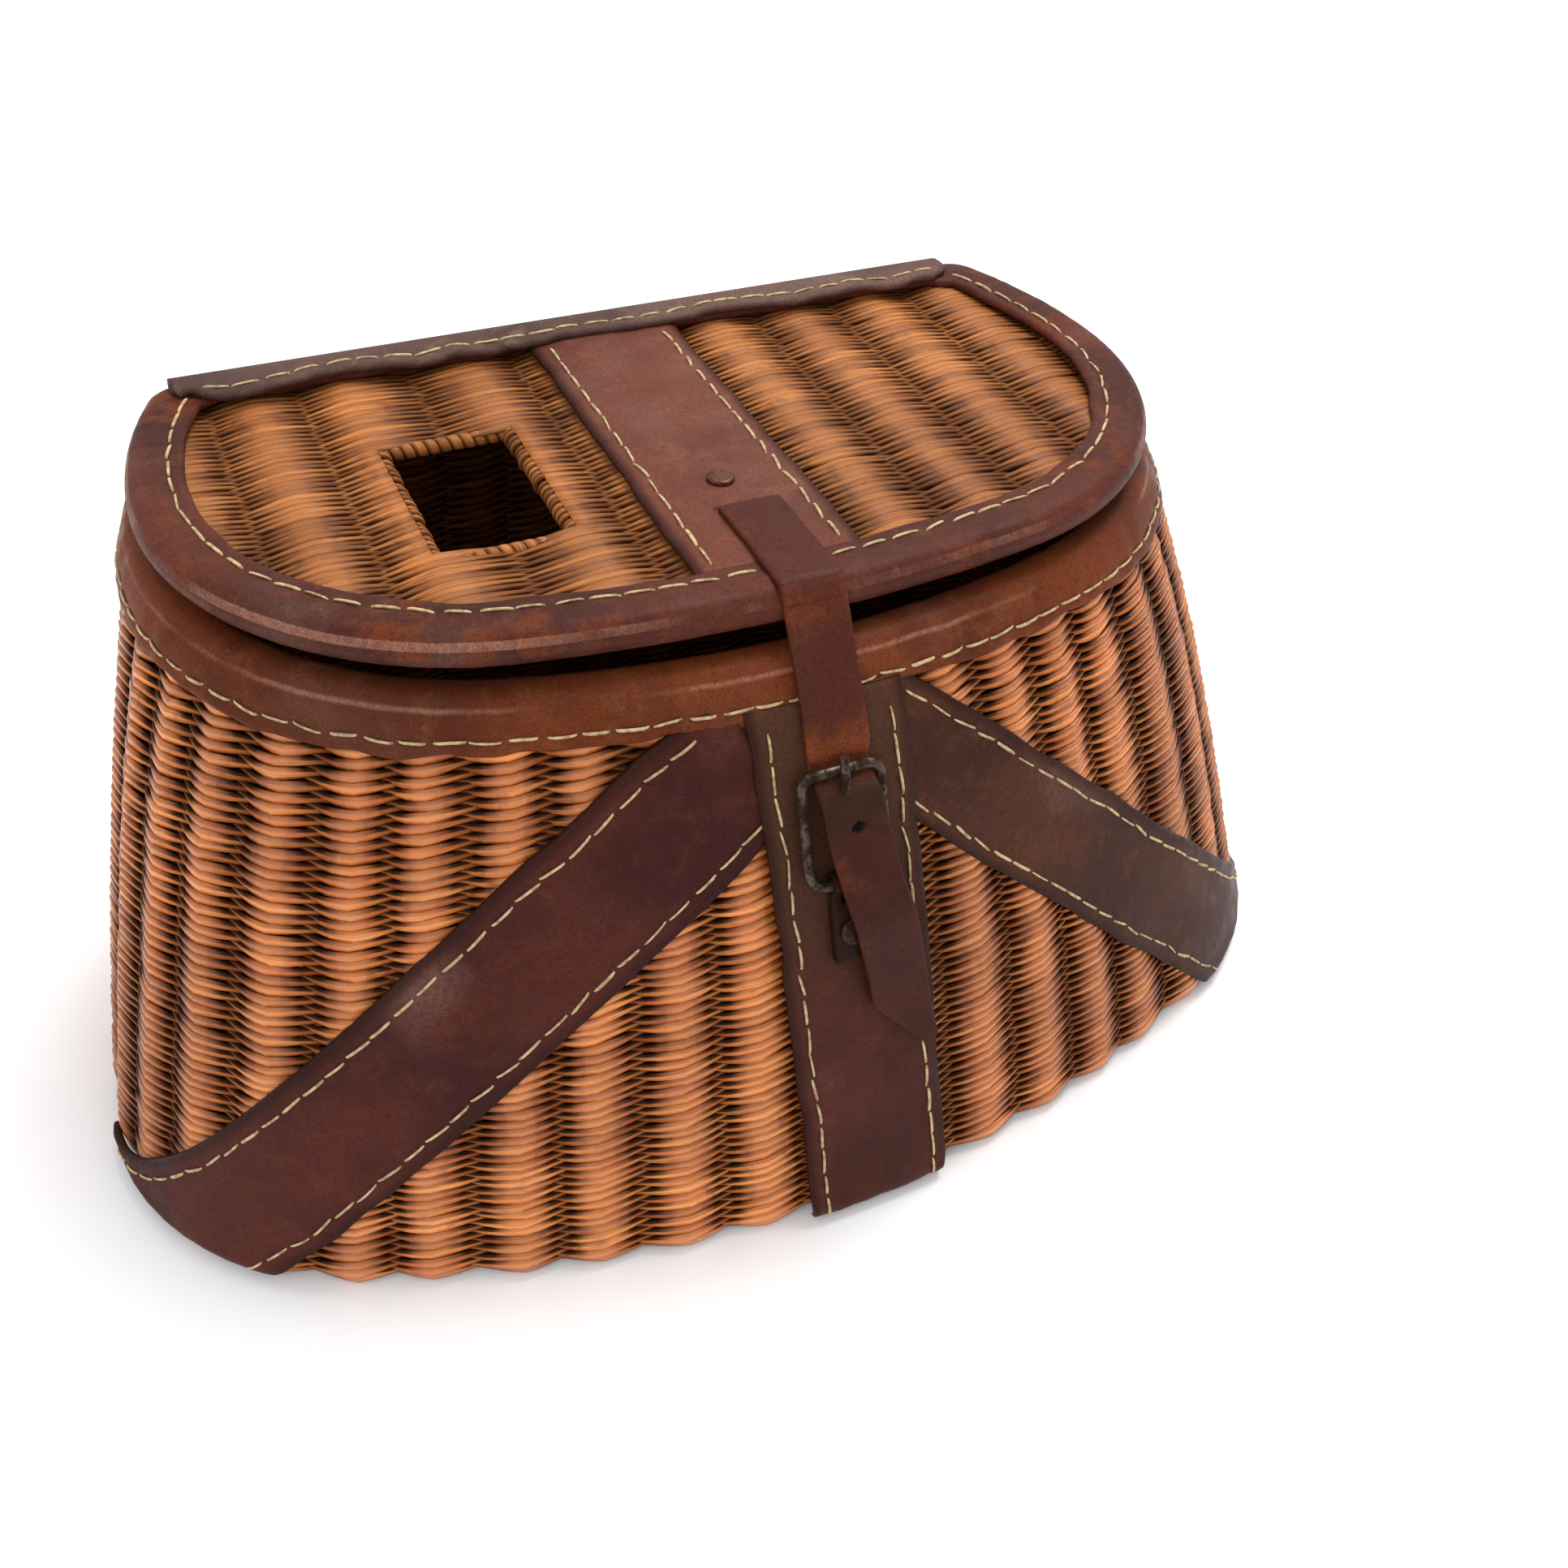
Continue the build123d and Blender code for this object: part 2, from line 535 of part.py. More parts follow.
def pieces():
    rivets = [CHAPE_RIVET_PLACE * rivet(CHAPE_RIVET_DEPTH + 1)]
    washers = [CHAPE_RIVET_PLACE * washer(CHAPE_RIVET_DEPTH)]
    for place in TAB_RIVET_PLACES:
        rivets.append(place * rivet(TAB_RIVET_DEPTH + 1))
        washers.append(place * washer(TAB_RIVET_DEPTH))
    parts = {
        "basket_wall": basket_wall(),
        "basket_bottom": basket_bottom(),
        "rim_rod": rim_rod(),
        "rim_binding": rim_binding(),
        "front_band": front_band(),
        "diagonal_band_left": diagonal_band(-1, LEFT_UPPER, LEFT_LOWER),
        "diagonal_band_right": diagonal_band(1, RIGHT_UPPER, RIGHT_LOWER),
        "buckle_chape": buckle_chape(),
        "buckle_frame": buckle_frame(),
        "buckle_prong": buckle_prong(),
        "lid_panel": lid_panel(),
        "fish_hole_bars": closed(Compound(hole_bars())),
        "lid_frame_rod": lid_frame_rod(),
        "lid_binding": lid_binding(),
        "lid_band": lid_band(),
        "strap_anchor": strap_anchor(),
        "strap_rivet": closed(LID_RIVET_PLACE * rivet(LID_RIVET_DEPTH + 1)),
        "strap_rivet_washer": closed(LID_RIVET_PLACE * washer(LID_RIVET_DEPTH)),
        "strap": strap(),
        "hinge_strip": hinge_strip(),
        "basket_rivets": Compound(rivets),
        "basket_rivet_washers": Compound(washers),
    }
    for name, place, rivet_place in zip(("left", "right"), TAB_PLACES, TAB_RIVET_PLACES):
        parts[f"harness_tab_{name}"] = harness_tab(place, rivet_place)
        parts[f"harness_ring_{name}"] = harness_ring(place)
    return parts


os.makedirs("parts", exist_ok=True)
for name, shape in pieces().items():
    export_step(shape, f"parts/{name}.step")
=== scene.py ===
import json
import math

import bpy
import numpy as np
from mathutils import Matrix, Vector


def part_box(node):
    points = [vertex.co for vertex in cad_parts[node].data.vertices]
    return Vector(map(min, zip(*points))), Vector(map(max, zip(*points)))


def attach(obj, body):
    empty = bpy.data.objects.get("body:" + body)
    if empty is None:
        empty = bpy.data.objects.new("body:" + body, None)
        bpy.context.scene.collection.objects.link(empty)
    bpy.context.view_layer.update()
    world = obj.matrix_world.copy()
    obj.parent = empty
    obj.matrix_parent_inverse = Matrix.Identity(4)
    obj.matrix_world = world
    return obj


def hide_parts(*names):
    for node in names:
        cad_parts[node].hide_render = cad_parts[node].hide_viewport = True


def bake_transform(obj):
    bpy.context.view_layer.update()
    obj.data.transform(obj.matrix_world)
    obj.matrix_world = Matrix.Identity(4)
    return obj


# A wicker fishing creel with leather trim, dressed around its fixed frame.
# Shapes are worked out in millimetres and written to the meshes in metres.

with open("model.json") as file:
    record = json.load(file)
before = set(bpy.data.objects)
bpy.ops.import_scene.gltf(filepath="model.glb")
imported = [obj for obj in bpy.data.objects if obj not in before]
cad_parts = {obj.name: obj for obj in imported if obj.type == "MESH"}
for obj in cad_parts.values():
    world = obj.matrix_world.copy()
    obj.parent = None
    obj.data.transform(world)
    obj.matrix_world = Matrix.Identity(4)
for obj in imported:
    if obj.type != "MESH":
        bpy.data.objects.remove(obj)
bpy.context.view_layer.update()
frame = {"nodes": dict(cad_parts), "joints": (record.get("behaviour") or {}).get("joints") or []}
rng = np.random.default_rng(7)
MM = 0.001


# ---- sizes of the creel, as in the frame, in millimetres -----------------------------
def node_box(name):
    low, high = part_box(name)
    return np.array(low) / MM, np.array(high) / MM


BASE = (177.0, 198.0, 102.0, 75.0, 140.0, 25.0)
RIM = (134.8, 148.4, 55.0, 87.0, 97.0, 14.0)
LID = (134.9, 148.3, 59.0, 84.8, 126.0, 10.0)
RIM_HEIGHT = 150.4
FLARE = 0.78
FOOT_ROUNDING, FOOT_HEIGHT = 3.0, 5.0
WALL = 5.0
LEATHER = 2.2
GAP = 0.3
SKIN = LEATHER + GAP
RIM_BINDING_LOW = node_box("rim_binding")[0][2]
RIM_TOP = node_box("rim_binding")[1][2]
BACK_Y = BASE[1] / 2
LID_BACK_Y = BACK_Y + 2.2
PANEL = 4.6
LID_LOW = RIM_TOP + 2.2
LID_TOP = LID_LOW + PANEL + 2 * SKIN
PANEL_LOW = LID_LOW + SKIN
PANEL_TOP = PANEL_LOW + PANEL
LIP = (LID_TOP - LID_LOW) / 2
LIP_Y = LID_BACK_Y - LID[1] + LIP
LIP_Z = (LID_LOW + LID_TOP) / 2
HINGE_Y, HINGE_Z = [v / MM for v in frame["joints"][0]["pos_m"][1:]]
LID_AJAR = math.radians(1.1)
BUCKLE_X = frame["joints"][2]["pos_m"][0] / MM
HEEL_Y, HEEL_Z = [v / MM for v in frame["joints"][2]["pos_m"][1:]]


# ---- outlines and surfaces -----------------------------------------------------------
def arc(centre, radius, start, end, steps=160):
    angles = np.linspace(start, end, steps)
    return np.column_stack((centre[0] + radius * np.cos(angles), centre[1] + radius * np.sin(angles)))


def d_outline(half_width, depth, widest, side_radius, back_radius, corner, back_y, count):
    """D outline at equal steps, from the middle of the back by the left side to it again.

    Returns points and outward normals; the middle of the front is half way along."""
    reach = depth - widest
    side_x = half_width - side_radius
    front_radius = (side_x**2 + reach**2 - side_radius**2) / (2 * (reach - side_radius))
    widest_y = back_y - widest
    front_centre = (0.0, back_y - depth + front_radius)
    turn = math.atan2(widest_y - front_centre[1], side_x)
    back_centre = (half_width - back_radius, widest_y)
    rise = widest - corner
    corner_x = back_centre[0] + math.sqrt((back_radius - corner) ** 2 - rise**2)
    corner_turn = math.atan2(rise, corner_x - back_centre[0])
    right = np.vstack((
        arc(front_centre, front_radius, -math.pi / 2, turn),
        arc((side_x, widest_y), side_radius, turn, 0)[1:],
        arc(back_centre, back_radius, 0, corner_turn)[1:],
        arc((corner_x, back_y - corner), corner, corner_turn, math.pi / 2)[1:],
        np.array([[0.0, back_y]])))
    left = right[::-1] * (-1, 1)
    line = np.vstack((left, right[1:]))
    length = np.concatenate(([0], np.cumsum(np.hypot(*np.diff(line, axis=0).T))))
    steps = np.linspace(0, length[-1], count)
    points = np.column_stack([np.interp(steps, length, line[:, i]) for i in (0, 1)])
    along = np.gradient(points, axis=0)
    along[0] = along[-1] = (1.0, 0.0)
    along /= np.linalg.norm(along, axis=1)[:, None]
    normals = np.column_stack((along[:, 1], -along[:, 0]))
    normals[0] = normals[-1] = (0.0, 1.0)
    return points, normals, length[-1]


class Wall:
    """The basket's outer surface, by t round it and height z; t is 0 at the front's middle."""

    COUNT = 1441
    HEIGHTS = np.concatenate((np.linspace(0, 6, 7), np.linspace(8, 152, 60)))

    def __init__(self):
        tables = [d_outline(*self.sizes(z), BACK_Y, self.COUNT) for z in self.HEIGHTS]
        self.points = np.array([table[0] for table in tables])
        self.normals = np.array([table[1] for table in tables])
        self.rim_length = tables[-1][2]

    @staticmethod
    def sizes(z):
        share = max(0.0, (RIM_HEIGHT - z) / RIM_HEIGHT) ** FLARE
        return [rim + (base - rim) * share for rim, base in zip(RIM, BASE)]

    def look_up(self, table, t, z):
        column = np.clip((np.asarray(t) + 0.5) % 1.0, 0, 1) * (self.COUNT - 1)
        row = np.interp(z, self.HEIGHTS, np.arange(len(self.HEIGHTS)))
        c0 = np.minimum(column.astype(int), self.COUNT - 2)
        r0 = np.minimum(row.astype(int), len(self.HEIGHTS) - 2)
        cf, rf = (column - c0)[..., None], (row - r0)[..., None]
        low = table[r0, c0] * (1 - cf) + table[r0, c0 + 1] * cf
        high = table[r0 + 1, c0] * (1 - cf) + table[r0 + 1, c0 + 1] * cf
        return low * (1 - rf) + high * rf

    def at(self, t, z, off):
        """Points at t and height z, off outward of the wicker's outside, and the normals there."""
        t, z, off = np.broadcast_arrays(np.asarray(t, float), np.asarray(z, float), np.asarray(off, float))
        point = self.look_up(self.points, t, z)
        normal = self.look_up(self.normals, t, z)
        normal /= np.linalg.norm(normal, axis=-1)[..., None]
        drawn = FOOT_ROUNDING * np.maximum(0, 1 - z / FOOT_HEIGHT) ** 2
        flat = point + normal * (off - drawn)[..., None]
        out = np.concatenate((normal, np.zeros(normal.shape[:-1] + (1,))), axis=-1)
        return np.concatenate((flat, z[..., None]), axis=-1), out

    def t_of_x(self, x, z):
        """t of the point on the front half that has this x at this height."""
        line = self.look_up(self.points, np.linspace(-0.36, 0.36, 1200), np.full(1200, z))
        widest = int(np.argmax(line[:, 0]))
        first = int(np.argmin(line[:, 0]))
        return float(np.interp(x, line[first:widest + 1, 0], np.linspace(-0.36, 0.36, 1200)[first:widest + 1]))


wall = Wall()


def close_lid(points):
    """Tips points of the flat lid about the hinge line to where it stands when closed."""
    over, up = points[..., 1] - HINGE_Y, points[..., 2] - HINGE_Z
    turned = points.copy()
    turned[..., 1] = HINGE_Y + over * math.cos(LID_AJAR) + up * math.sin(LID_AJAR)
    turned[..., 2] = HINGE_Z - over * math.sin(LID_AJAR) + up * math.cos(LID_AJAR)
    return turned


def smooth_noise(count, knots, amount, closed=False):
    """A smooth random line of count values made from a few random knots."""
    values = rng.normal(0, amount, knots)
    if closed:
        values = np.append(values, values[0])
    places = np.linspace(0, 1, len(values))
    x = np.linspace(0, 1, count, endpoint=not closed)
    span = np.clip((x * (len(values) - 1)).astype(int), 0, len(values) - 2)
    share = x * (len(values) - 1) - span
    share = share * share * (3 - 2 * share)
    return values[span] * (1 - share) + values[span + 1] * share


# ---- meshes --------------------------------------------------------------------------
def new_mesh(name, points, faces, material, smooth=True, attributes=()):
    """One mesh object from points in millimetres and an array or list of faces."""
    mesh = bpy.data.meshes.new(name)
    points = np.asarray(points, float) * MM
    mesh.from_pydata(points.tolist(), [], np.asarray(faces).tolist() if isinstance(faces, np.ndarray) else faces)
    if smooth:
        mesh.polygons.foreach_set("use_smooth", np.ones(len(mesh.polygons), bool))
    rest = mesh.attributes.new("rest", "FLOAT_VECTOR", "POINT")
    rest.data.foreach_set("vector", points.astype(np.float32).ravel())
    for label, kind, values in attributes:
        layer = mesh.attributes.new(label, kind, "POINT")
        layer.data.foreach_set("vector" if kind == "FLOAT_VECTOR" else "value",
                               np.asarray(values, np.float32).ravel())
    mesh.materials.append(material)
    obj = bpy.data.objects.new(name, mesh)
    bpy.context.scene.collection.objects.link(obj)
    return obj


def grid_faces(rows, columns, closed_rows=False, closed_columns=True, start=0):
    """Quads of a grid of rows by columns of points; columns run round a ring."""
    r = np.arange(rows if closed_rows else rows - 1)
    c = np.arange(columns if closed_columns else columns - 1)
    r0, c0 = np.meshgrid(r, c, indexing="ij")
    r1, c1 = (r0 + 1) % rows, (c0 + 1) % columns
    faces = np.stack((r0 * columns + c0, r0 * columns + c1, r1 * columns + c1, r1 * columns + c0), axis=-1)
    return faces.reshape(-1, 4) + start


def ring_caps(rows, columns, start=0):
    """Two many-sided faces that close a tube's ends."""
    return [list(range(start + columns - 1, start - 1, -1)),
            list(range(start + (rows - 1) * columns, start + rows * columns))]


def swept(name, rings, material, closed=False, **more):
    """A solid from rings of points, shaped (stations, ring points, 3)."""
    stations, ring = rings.shape[:2]
    faces = grid_faces(stations, ring, closed_rows=closed).tolist()
    if not closed:
        faces += ring_caps(stations, ring)
    return new_mesh(name, rings.reshape(-1, 3), faces, material, **more)


FLATTENED = 0.7             # 1 gives a weaver an oval section, less a flatter one


def crest(over):
    """A weaver's rise over a stake: nearly straight flanks up to a narrow crest."""
    return CREST_SHARE * np.arcsin(np.clip(over, -1, 1)) * 2 / math.pi + (1 - CREST_SHARE) * over


CREST_SHARE = 0.6


class Strands:
    """Collects many tubes and writes them as one mesh, with the wood's run in attributes."""

    def __init__(self, sides=8):
        self.sides = sides
        self.points, self.faces, self.fibre, self.relief = [], [], [], []
        self.size = 0
        self.total = 0

    def add(self, path, out, side, wide, thick, relief, closed=False):
        """path (n,3) with unit vectors out and side, half sizes thick along out and wide along side."""
        n = len(path)
        angles = np.arange(self.sides) * 2 * math.pi / self.sides
        upward, across = [np.sign(v) * np.abs(v) ** FLATTENED for v in (np.cos(angles), np.sin(angles))]
        ring = (out[:, None, :] * (upward[None, :, None] * np.broadcast_to(thick, n)[:, None, None])
                + side[:, None, :] * (across[None, :, None] * np.broadcast_to(wide, n)[:, None, None]))
        self.points.append((path[:, None, :] + ring).reshape(-1, 3))
        faces = grid_faces(n, self.sides, closed_rows=closed, start=self.size)
        self.faces.append(faces.tolist())
        if not closed:
            self.faces.append(ring_caps(n, self.sides, self.size))
        run = np.concatenate(([0], np.cumsum(np.linalg.norm(np.diff(path, axis=0), axis=1))))
        ident = rng.uniform(0, 1)
        fibre = np.empty((n, self.sides, 3))
        fibre[..., 0] = (run + ident * 500)[:, None]
        fibre[..., 1] = np.sin(angles)[None, :] * 2.0
        fibre[..., 2] = ident
        self.fibre.append(fibre.reshape(-1, 3))
        self.relief.append(np.repeat(np.broadcast_to(relief, n), self.sides))
        self.size += n * self.sides

    def write(self, name, material):
        faces = [face for part in self.faces for face in part]
        return new_mesh(name, np.vstack(self.points), faces, material, attributes=[
            ("fibre", "FLOAT_VECTOR", np.vstack(self.fibre)),
            ("relief", "FLOAT", np.concatenate(self.relief))])


# ---- materials -----------------------------------------------------------------------
class Nodes:
    """Short-hand for building a material's node tree."""

    def __init__(self, name):
        self.material = bpy.data.materials.new(name)
        self.material.use_nodes = True
        self.tree = self.material.node_tree
        self.tree.nodes.clear()
        self.output = self.add("ShaderNodeOutputMaterial")
        self.shader = self.add("ShaderNodeBsdfPrincipled")
        self.link(self.shader.outputs[0], self.output.inputs[0])

    def add(self, kind, **values):
        node = self.tree.nodes.new(kind)
        for key, value in values.items():
            setattr(node, key, value)
        return node

    def link(self, source, target):
        self.tree.links.new(source, target)

    def feed(self, socket, value):
        """Links an output, or sets a plain value."""
        if isinstance(value, bpy.types.NodeSocket):
            self.link(value, socket)
        else:
            socket.default_value = value

    def attribute(self, name, output="Vector"):
        return self.add("ShaderNodeAttribute", attribute_name=name).outputs[output]

    def place(self, attribute="rest"):
        if attribute == "object":
            return self.add("ShaderNodeTexCoord").outputs["Object"]
        return self.attribute(attribute)

    def scaled(self, vector, scale, shift=(0, 0, 0)):
        node = self.add("ShaderNodeMapping")
        node.inputs["Scale"].default_value = scale
        node.inputs["Location"].default_value = shift
        self.link(vector, node.inputs["Vector"])
        return node.outputs[0]

    def noise(self, vector, scale, detail=3.0, rough=0.55, distortion=0.0):
        node = self.add("ShaderNodeTexNoise")
        node.inputs["Scale"].default_value = scale
        node.inputs["Detail"].default_value = detail
        node.inputs["Roughness"].default_value = rough
        node.inputs["Distortion"].default_value = distortion
        self.link(vector, node.inputs["Vector"])
        return node.outputs[0]

    def cells(self, vector, scale, feature="DISTANCE_TO_EDGE"):
        node = self.add("ShaderNodeTexVoronoi", feature=feature)
        node.inputs["Scale"].default_value = scale
        self.link(vector, node.inputs["Vector"])
        return node.outputs["Distance"]

    def remap(self, value, low, high, to_low=0.0, to_high=1.0):
        node = self.add("ShaderNodeMapRange", interpolation_type="SMOOTHSTEP")
        self.feed(node.inputs[0], value)
        for index, number in enumerate((low, high, to_low, to_high), start=1):
            node.inputs[index].default_value = number
        return node.outputs[0]

    def math(self, operation, a, b=0.0):
        node = self.add("ShaderNodeMath", operation=operation)
        self.feed(node.inputs[0], a)
        self.feed(node.inputs[1], b)
        return node.outputs[0]

    def mix(self, share, a, b, blend="MIX"):
        node = self.add("ShaderNodeMix", data_type="RGBA", blend_type=blend)
        self.feed(node.inputs[0], share)
        self.feed(node.inputs[6], a)
        self.feed(node.inputs[7], b)
        return node.outputs[2]

    def parts(self, vector):
        node = self.add("ShaderNodeSeparateXYZ")
        self.link(vector, node.inputs[0])
        return node.outputs

    def bump(self, height, strength, distance, under=None):
        node = self.add("ShaderNodeBump")
        node.inputs["Strength"].default_value = strength
        node.inputs["Distance"].default_value = distance
        self.link(height, node.inputs["Height"])
        if under is not None:
            self.link(under, node.inputs["Normal"])
        return node.outputs[0]

    def finish(self, colour, roughness, normal=None, **plain):
        self.feed(self.shader.inputs["Base Color"], colour)
        self.feed(self.shader.inputs["Roughness"], roughness)
        if normal is not None:
            self.link(normal, self.shader.inputs["Normal"])
        for key, value in plain.items():
            self.shader.inputs[key.replace("_", " ")].default_value = value
        return self.material


def rgb(red, green, blue):
    """A colour given as 0 to 255 on screen, as the linear value that a shader takes."""
    def linear(value):
        value /= 255
        return value / 12.92 if value <= 0.04045 else ((value + 0.055) / 1.055) ** 2.4
    return linear(red), linear(green), linear(blue), 1.0


def wicker(name, light, middle, dark, gloss, dirt_and_shade=0.55, shine=0.4, seam_shade_strength=0.95):
    """Varnished split willow: streaks along each strand, one tone a strand, a painted highlight on the crests, dirt
    and painted shade in the hollows and seams.
    """
    n = Nodes(name)
    fibre = n.attribute("fibre")
    streak = n.noise(n.scaled(fibre, (0.05, 1.6, 40.0)), 1.0, 4.0, 0.6)
    blotch = n.noise(n.scaled(fibre, (0.03, 0.1, 13.0)), 1.0, 3.0)
    large = n.noise(n.place(), 15.0, 3.0, 0.6)
    spots = n.noise(n.place(), 95.0, 3.0, 0.7)
    tone = n.mix(n.remap(blotch, 0.38, 0.62), middle, light)
    tone = n.mix(n.remap(streak, 0.45, 0.7, 0.0, 0.65), tone, dark)
    tone = n.mix(n.remap(large, 0.4, 0.66, 0.0, 0.55), tone, dark)
    tone = n.mix(n.remap(spots, 0.55, 0.72, 0.0, 0.6), tone, dark)
    parts = n.parts(fibre)
    ident = n.math("FRACT", n.math("MULTIPLY", parts[2], 7.31))
    tone = n.mix(n.remap(ident, 0.35, 1.0, 0.0, 0.6), tone, dark)
    relief = n.attribute("relief", "Fac")
    # Painted highlight: the weavers' crests over the stakes are lifted towards the light tone.
    tone = n.mix(n.remap(relief, 0.78, 1.0, 0.0, 0.3), tone, light)
    # Dark colour for the seams and hollows: dirt and painted shade.
    soil_and_shade = rgb(34, 17, 9)
    # Seams along each weaver's edges, darkest where the weavers twist: dirt and painted shade between the strands.
    seam_shade = n.math("MULTIPLY", n.remap(n.math("ABSOLUTE", parts[1]), 0.6, 1.5),
                  n.remap(relief, 1.0, 0.4, seam_shade_strength / 3, seam_shade_strength))
    tone = n.mix(seam_shade, tone, soil_and_shade)
    # Darker towards the hollows, where relief is low: dirt and painted shade.
    tone = n.mix(n.remap(relief, 0.8, -0.2, 0.0, dirt_and_shade), tone, soil_and_shade)
    grain = n.bump(streak, 0.6, 0.0004)
    rough = n.remap(blotch, 0.3, 0.8, gloss, gloss + 0.2)
    n.shader.inputs["Specular IOR Level"].default_value = shine / 2
    n.feed(n.shader.inputs["Specular IOR Level"], n.remap(relief, 0.3, 0.95, 0.05, shine))
    n.feed(n.shader.inputs["Coat Weight"], n.remap(relief, 0.5, 1.0, 0.0, shine / 2))
    return n.finish(tone, rough, grain, Coat_Roughness=0.2)


def leather(name, base, dark, worn, wear=0.5, rust=0.0, rough=0.46, place="rest", edged=False,
            ridge_highlight=False, buckle_shade_and_rust=False, sheen_share=0.2, aged=None):
    """Waxed leather with pores, fine creases, a pale painted sheen in soft patches and old rust-coloured patches;
    optionally painted highlight lines on ridges and painted shade under the buckle.
    """
    n = Nodes(name)
    where = n.place(place)
    cloud = n.noise(where, 17.0, 4.0, 0.55)
    mottle = n.noise(where, 110.0, 5.0, 0.7)
    pores = n.cells(where, 1300.0)
    fold = n.noise(where, 420.0, 3.0, 0.7, 0.6)
    scratch = n.noise(n.scaled(where, (1.0, 0.25, 0.6)), 800.0, 2.0, 0.6, 1.2)
    tone = n.mix(n.remap(cloud, 0.4, 0.62), base, dark)
    tone = n.mix(n.remap(mottle, 0.48, 0.74, 0.0, wear), tone, worn)
    # Pale painted sheen in soft patches; the same noise breaks up the painted ridge highlights.
    sheen_noise = n.noise(n.scaled(where, (1, 1, 1), (0.7, 0.3, 0.9)), 24.0, 3.0, 0.5)
    tone = n.mix(n.remap(sheen_noise, 0.55, 0.78, 0.0, sheen_share), tone, rgb(150, 112, 100))
    if rust:
        patches = n.noise(n.scaled(where, (1, 1, 1), (3.1, 0.4, 0.2)), 34.0, 6.0, 0.75)
        tone = n.mix(n.remap(patches, 0.53, 0.64, 0.0, rust), tone, rgb(118, 54, 20))
    if aged:
        low, high, colour = aged
        tone = n.mix(n.remap(n.parts(where)[2], low, high, 0.0, 0.75), tone, colour)
    if edged:
        edge = n.attribute("edge", "Fac")
        tone = n.mix(n.remap(edge, 0.4, 3.4, 0.85, 0.0), tone, rgb(42, 22, 16))
    if buckle_shade_and_rust:
        # Painted shade: the strap darker round the prong's hole under the buckle, and near-black inside the
        # pressed-in hole.
        buckle_shade = n.attribute("buckle_shade", "Fac")
        tone = n.mix(n.remap(buckle_shade, 0.1, 1.0, 0.0, 0.8), tone, rgb(50, 33, 20))
        tone = n.mix(n.remap(buckle_shade, 1.2, 2.5), tone, rgb(14, 8, 6))
        rusty = n.math("MULTIPLY", n.attribute("rusty", "Fac"), n.remap(mottle, 0.36, 0.6, 0.2, 0.95))
        tone = n.mix(rusty, tone, rgb(136, 66, 30))
    if ridge_highlight:
        # Painted highlight: a pale line along the rolled ridges that the ridge attribute marks.
        ridge = n.math("MULTIPLY", n.remap(n.attribute("ridge", "Fac"), 0.5, 1.0), n.remap(sheen_noise, 0.4, 0.62))
        tone = n.mix(n.math("MULTIPLY", ridge, 0.55), tone, rgb(176, 124, 104))
    speck = n.noise(where, 700.0, 3.0, 0.7)
    tone = n.mix(n.remap(speck, 0.42, 0.62, 0.0, 0.35), tone, dark)
    tone = n.mix(n.remap(scratch, 0.66, 0.74, 0.0, 0.25), tone, worn)
    tone = n.mix(n.remap(pores, 0.0, 0.12, 0.4, 0.0), tone, rgb(28, 12, 9))
    grain = n.bump(pores, 0.3, 0.00014)
    grain = n.bump(fold, 0.4, 0.0004, grain)
    return n.finish(tone, n.remap(mottle, 0.3, 0.7, rough - 0.1, rough + 0.12), grain,
                    Specular_IOR_Level=0.07)


def metal(name, bright, rusty, place):
    """Old wire with tarnish and rust."""
    n = Nodes(name)
    where = n.place(place)
    coarse = n.noise(where, 260.0, 4.0, 0.7)
    fine = n.noise(where, 1400.0, 3.0, 0.6)
    tone = n.mix(n.remap(coarse, 0.4, 0.62), bright, rusty)
    tone = n.mix(n.remap(fine, 0.5, 0.8, 0.0, 0.5), tone, rgb(40, 26, 18))
    pits = n.bump(fine, 0.4, 0.0003)
    return n.finish(tone, n.remap(coarse, 0.4, 0.62, 0.32, 0.8), pits, Metallic=0.8)


def thread(name, light, dark):
    """Waxed linen thread with its twist."""
    n = Nodes(name)
    where = n.place()
    spots = n.noise(where, 500.0, 3.0, 0.6)
    tone = n.mix(n.remap(spots, 0.35, 0.7), light, dark)
    twist = n.bump(n.noise(where, 2600.0, 2.0), 0.5, 0.0002)
    return n.finish(tone, 0.75, twist)


MAT_WALL = wicker("basket_wicker", rgb(244, 152, 80), rgb(204, 110, 50), rgb(122, 58, 24), 0.26)
MAT_LID = wicker("lid_wicker", rgb(192, 120, 62), rgb(144, 84, 38), rgb(86, 44, 20), 0.36, 0.38, 0.12, 0.86)
MAT_ROD = wicker("willow_rod", rgb(190, 114, 62), rgb(160, 90, 44), rgb(104, 54, 28), 0.4)
MAT_RIM = leather("rim_leather", rgb(118, 57, 29), rgb(88, 42, 24), rgb(138, 80, 46), 0.5, 0.45, ridge_highlight=True)
MAT_EDGE = leather("lid_edge_leather", rgb(93, 48, 36), rgb(68, 35, 28), rgb(116, 71, 54), 0.5, 0.7, ridge_highlight=True)
MAT_BAND = leather("band_leather", rgb(84, 41, 33), rgb(64, 31, 26), rgb(108, 60, 47), 0.4, 0.12, edged=True,
                   aged=(0.06, 0.11, rgb(80, 54, 36)))
MAT_DIAGONAL = leather("diagonal_leather", rgb(86, 40, 32), rgb(62, 28, 25), rgb(104, 58, 46), 0.4, 0.15,
                       edged=True, sheen_share=0.4)
MAT_DIAGONAL_WORN = leather("diagonal_leather_worn", rgb(82, 47, 33), rgb(60, 33, 25), rgb(106, 71, 54), 0.5, 0.2,
                            edged=True, sheen_share=0.3)
MAT_LID_BAND = leather("lid_band_leather", rgb(112, 62, 47), rgb(92, 49, 39), rgb(134, 88, 69), 0.45, 0.1,
                       edged=True, sheen_share=0.3)
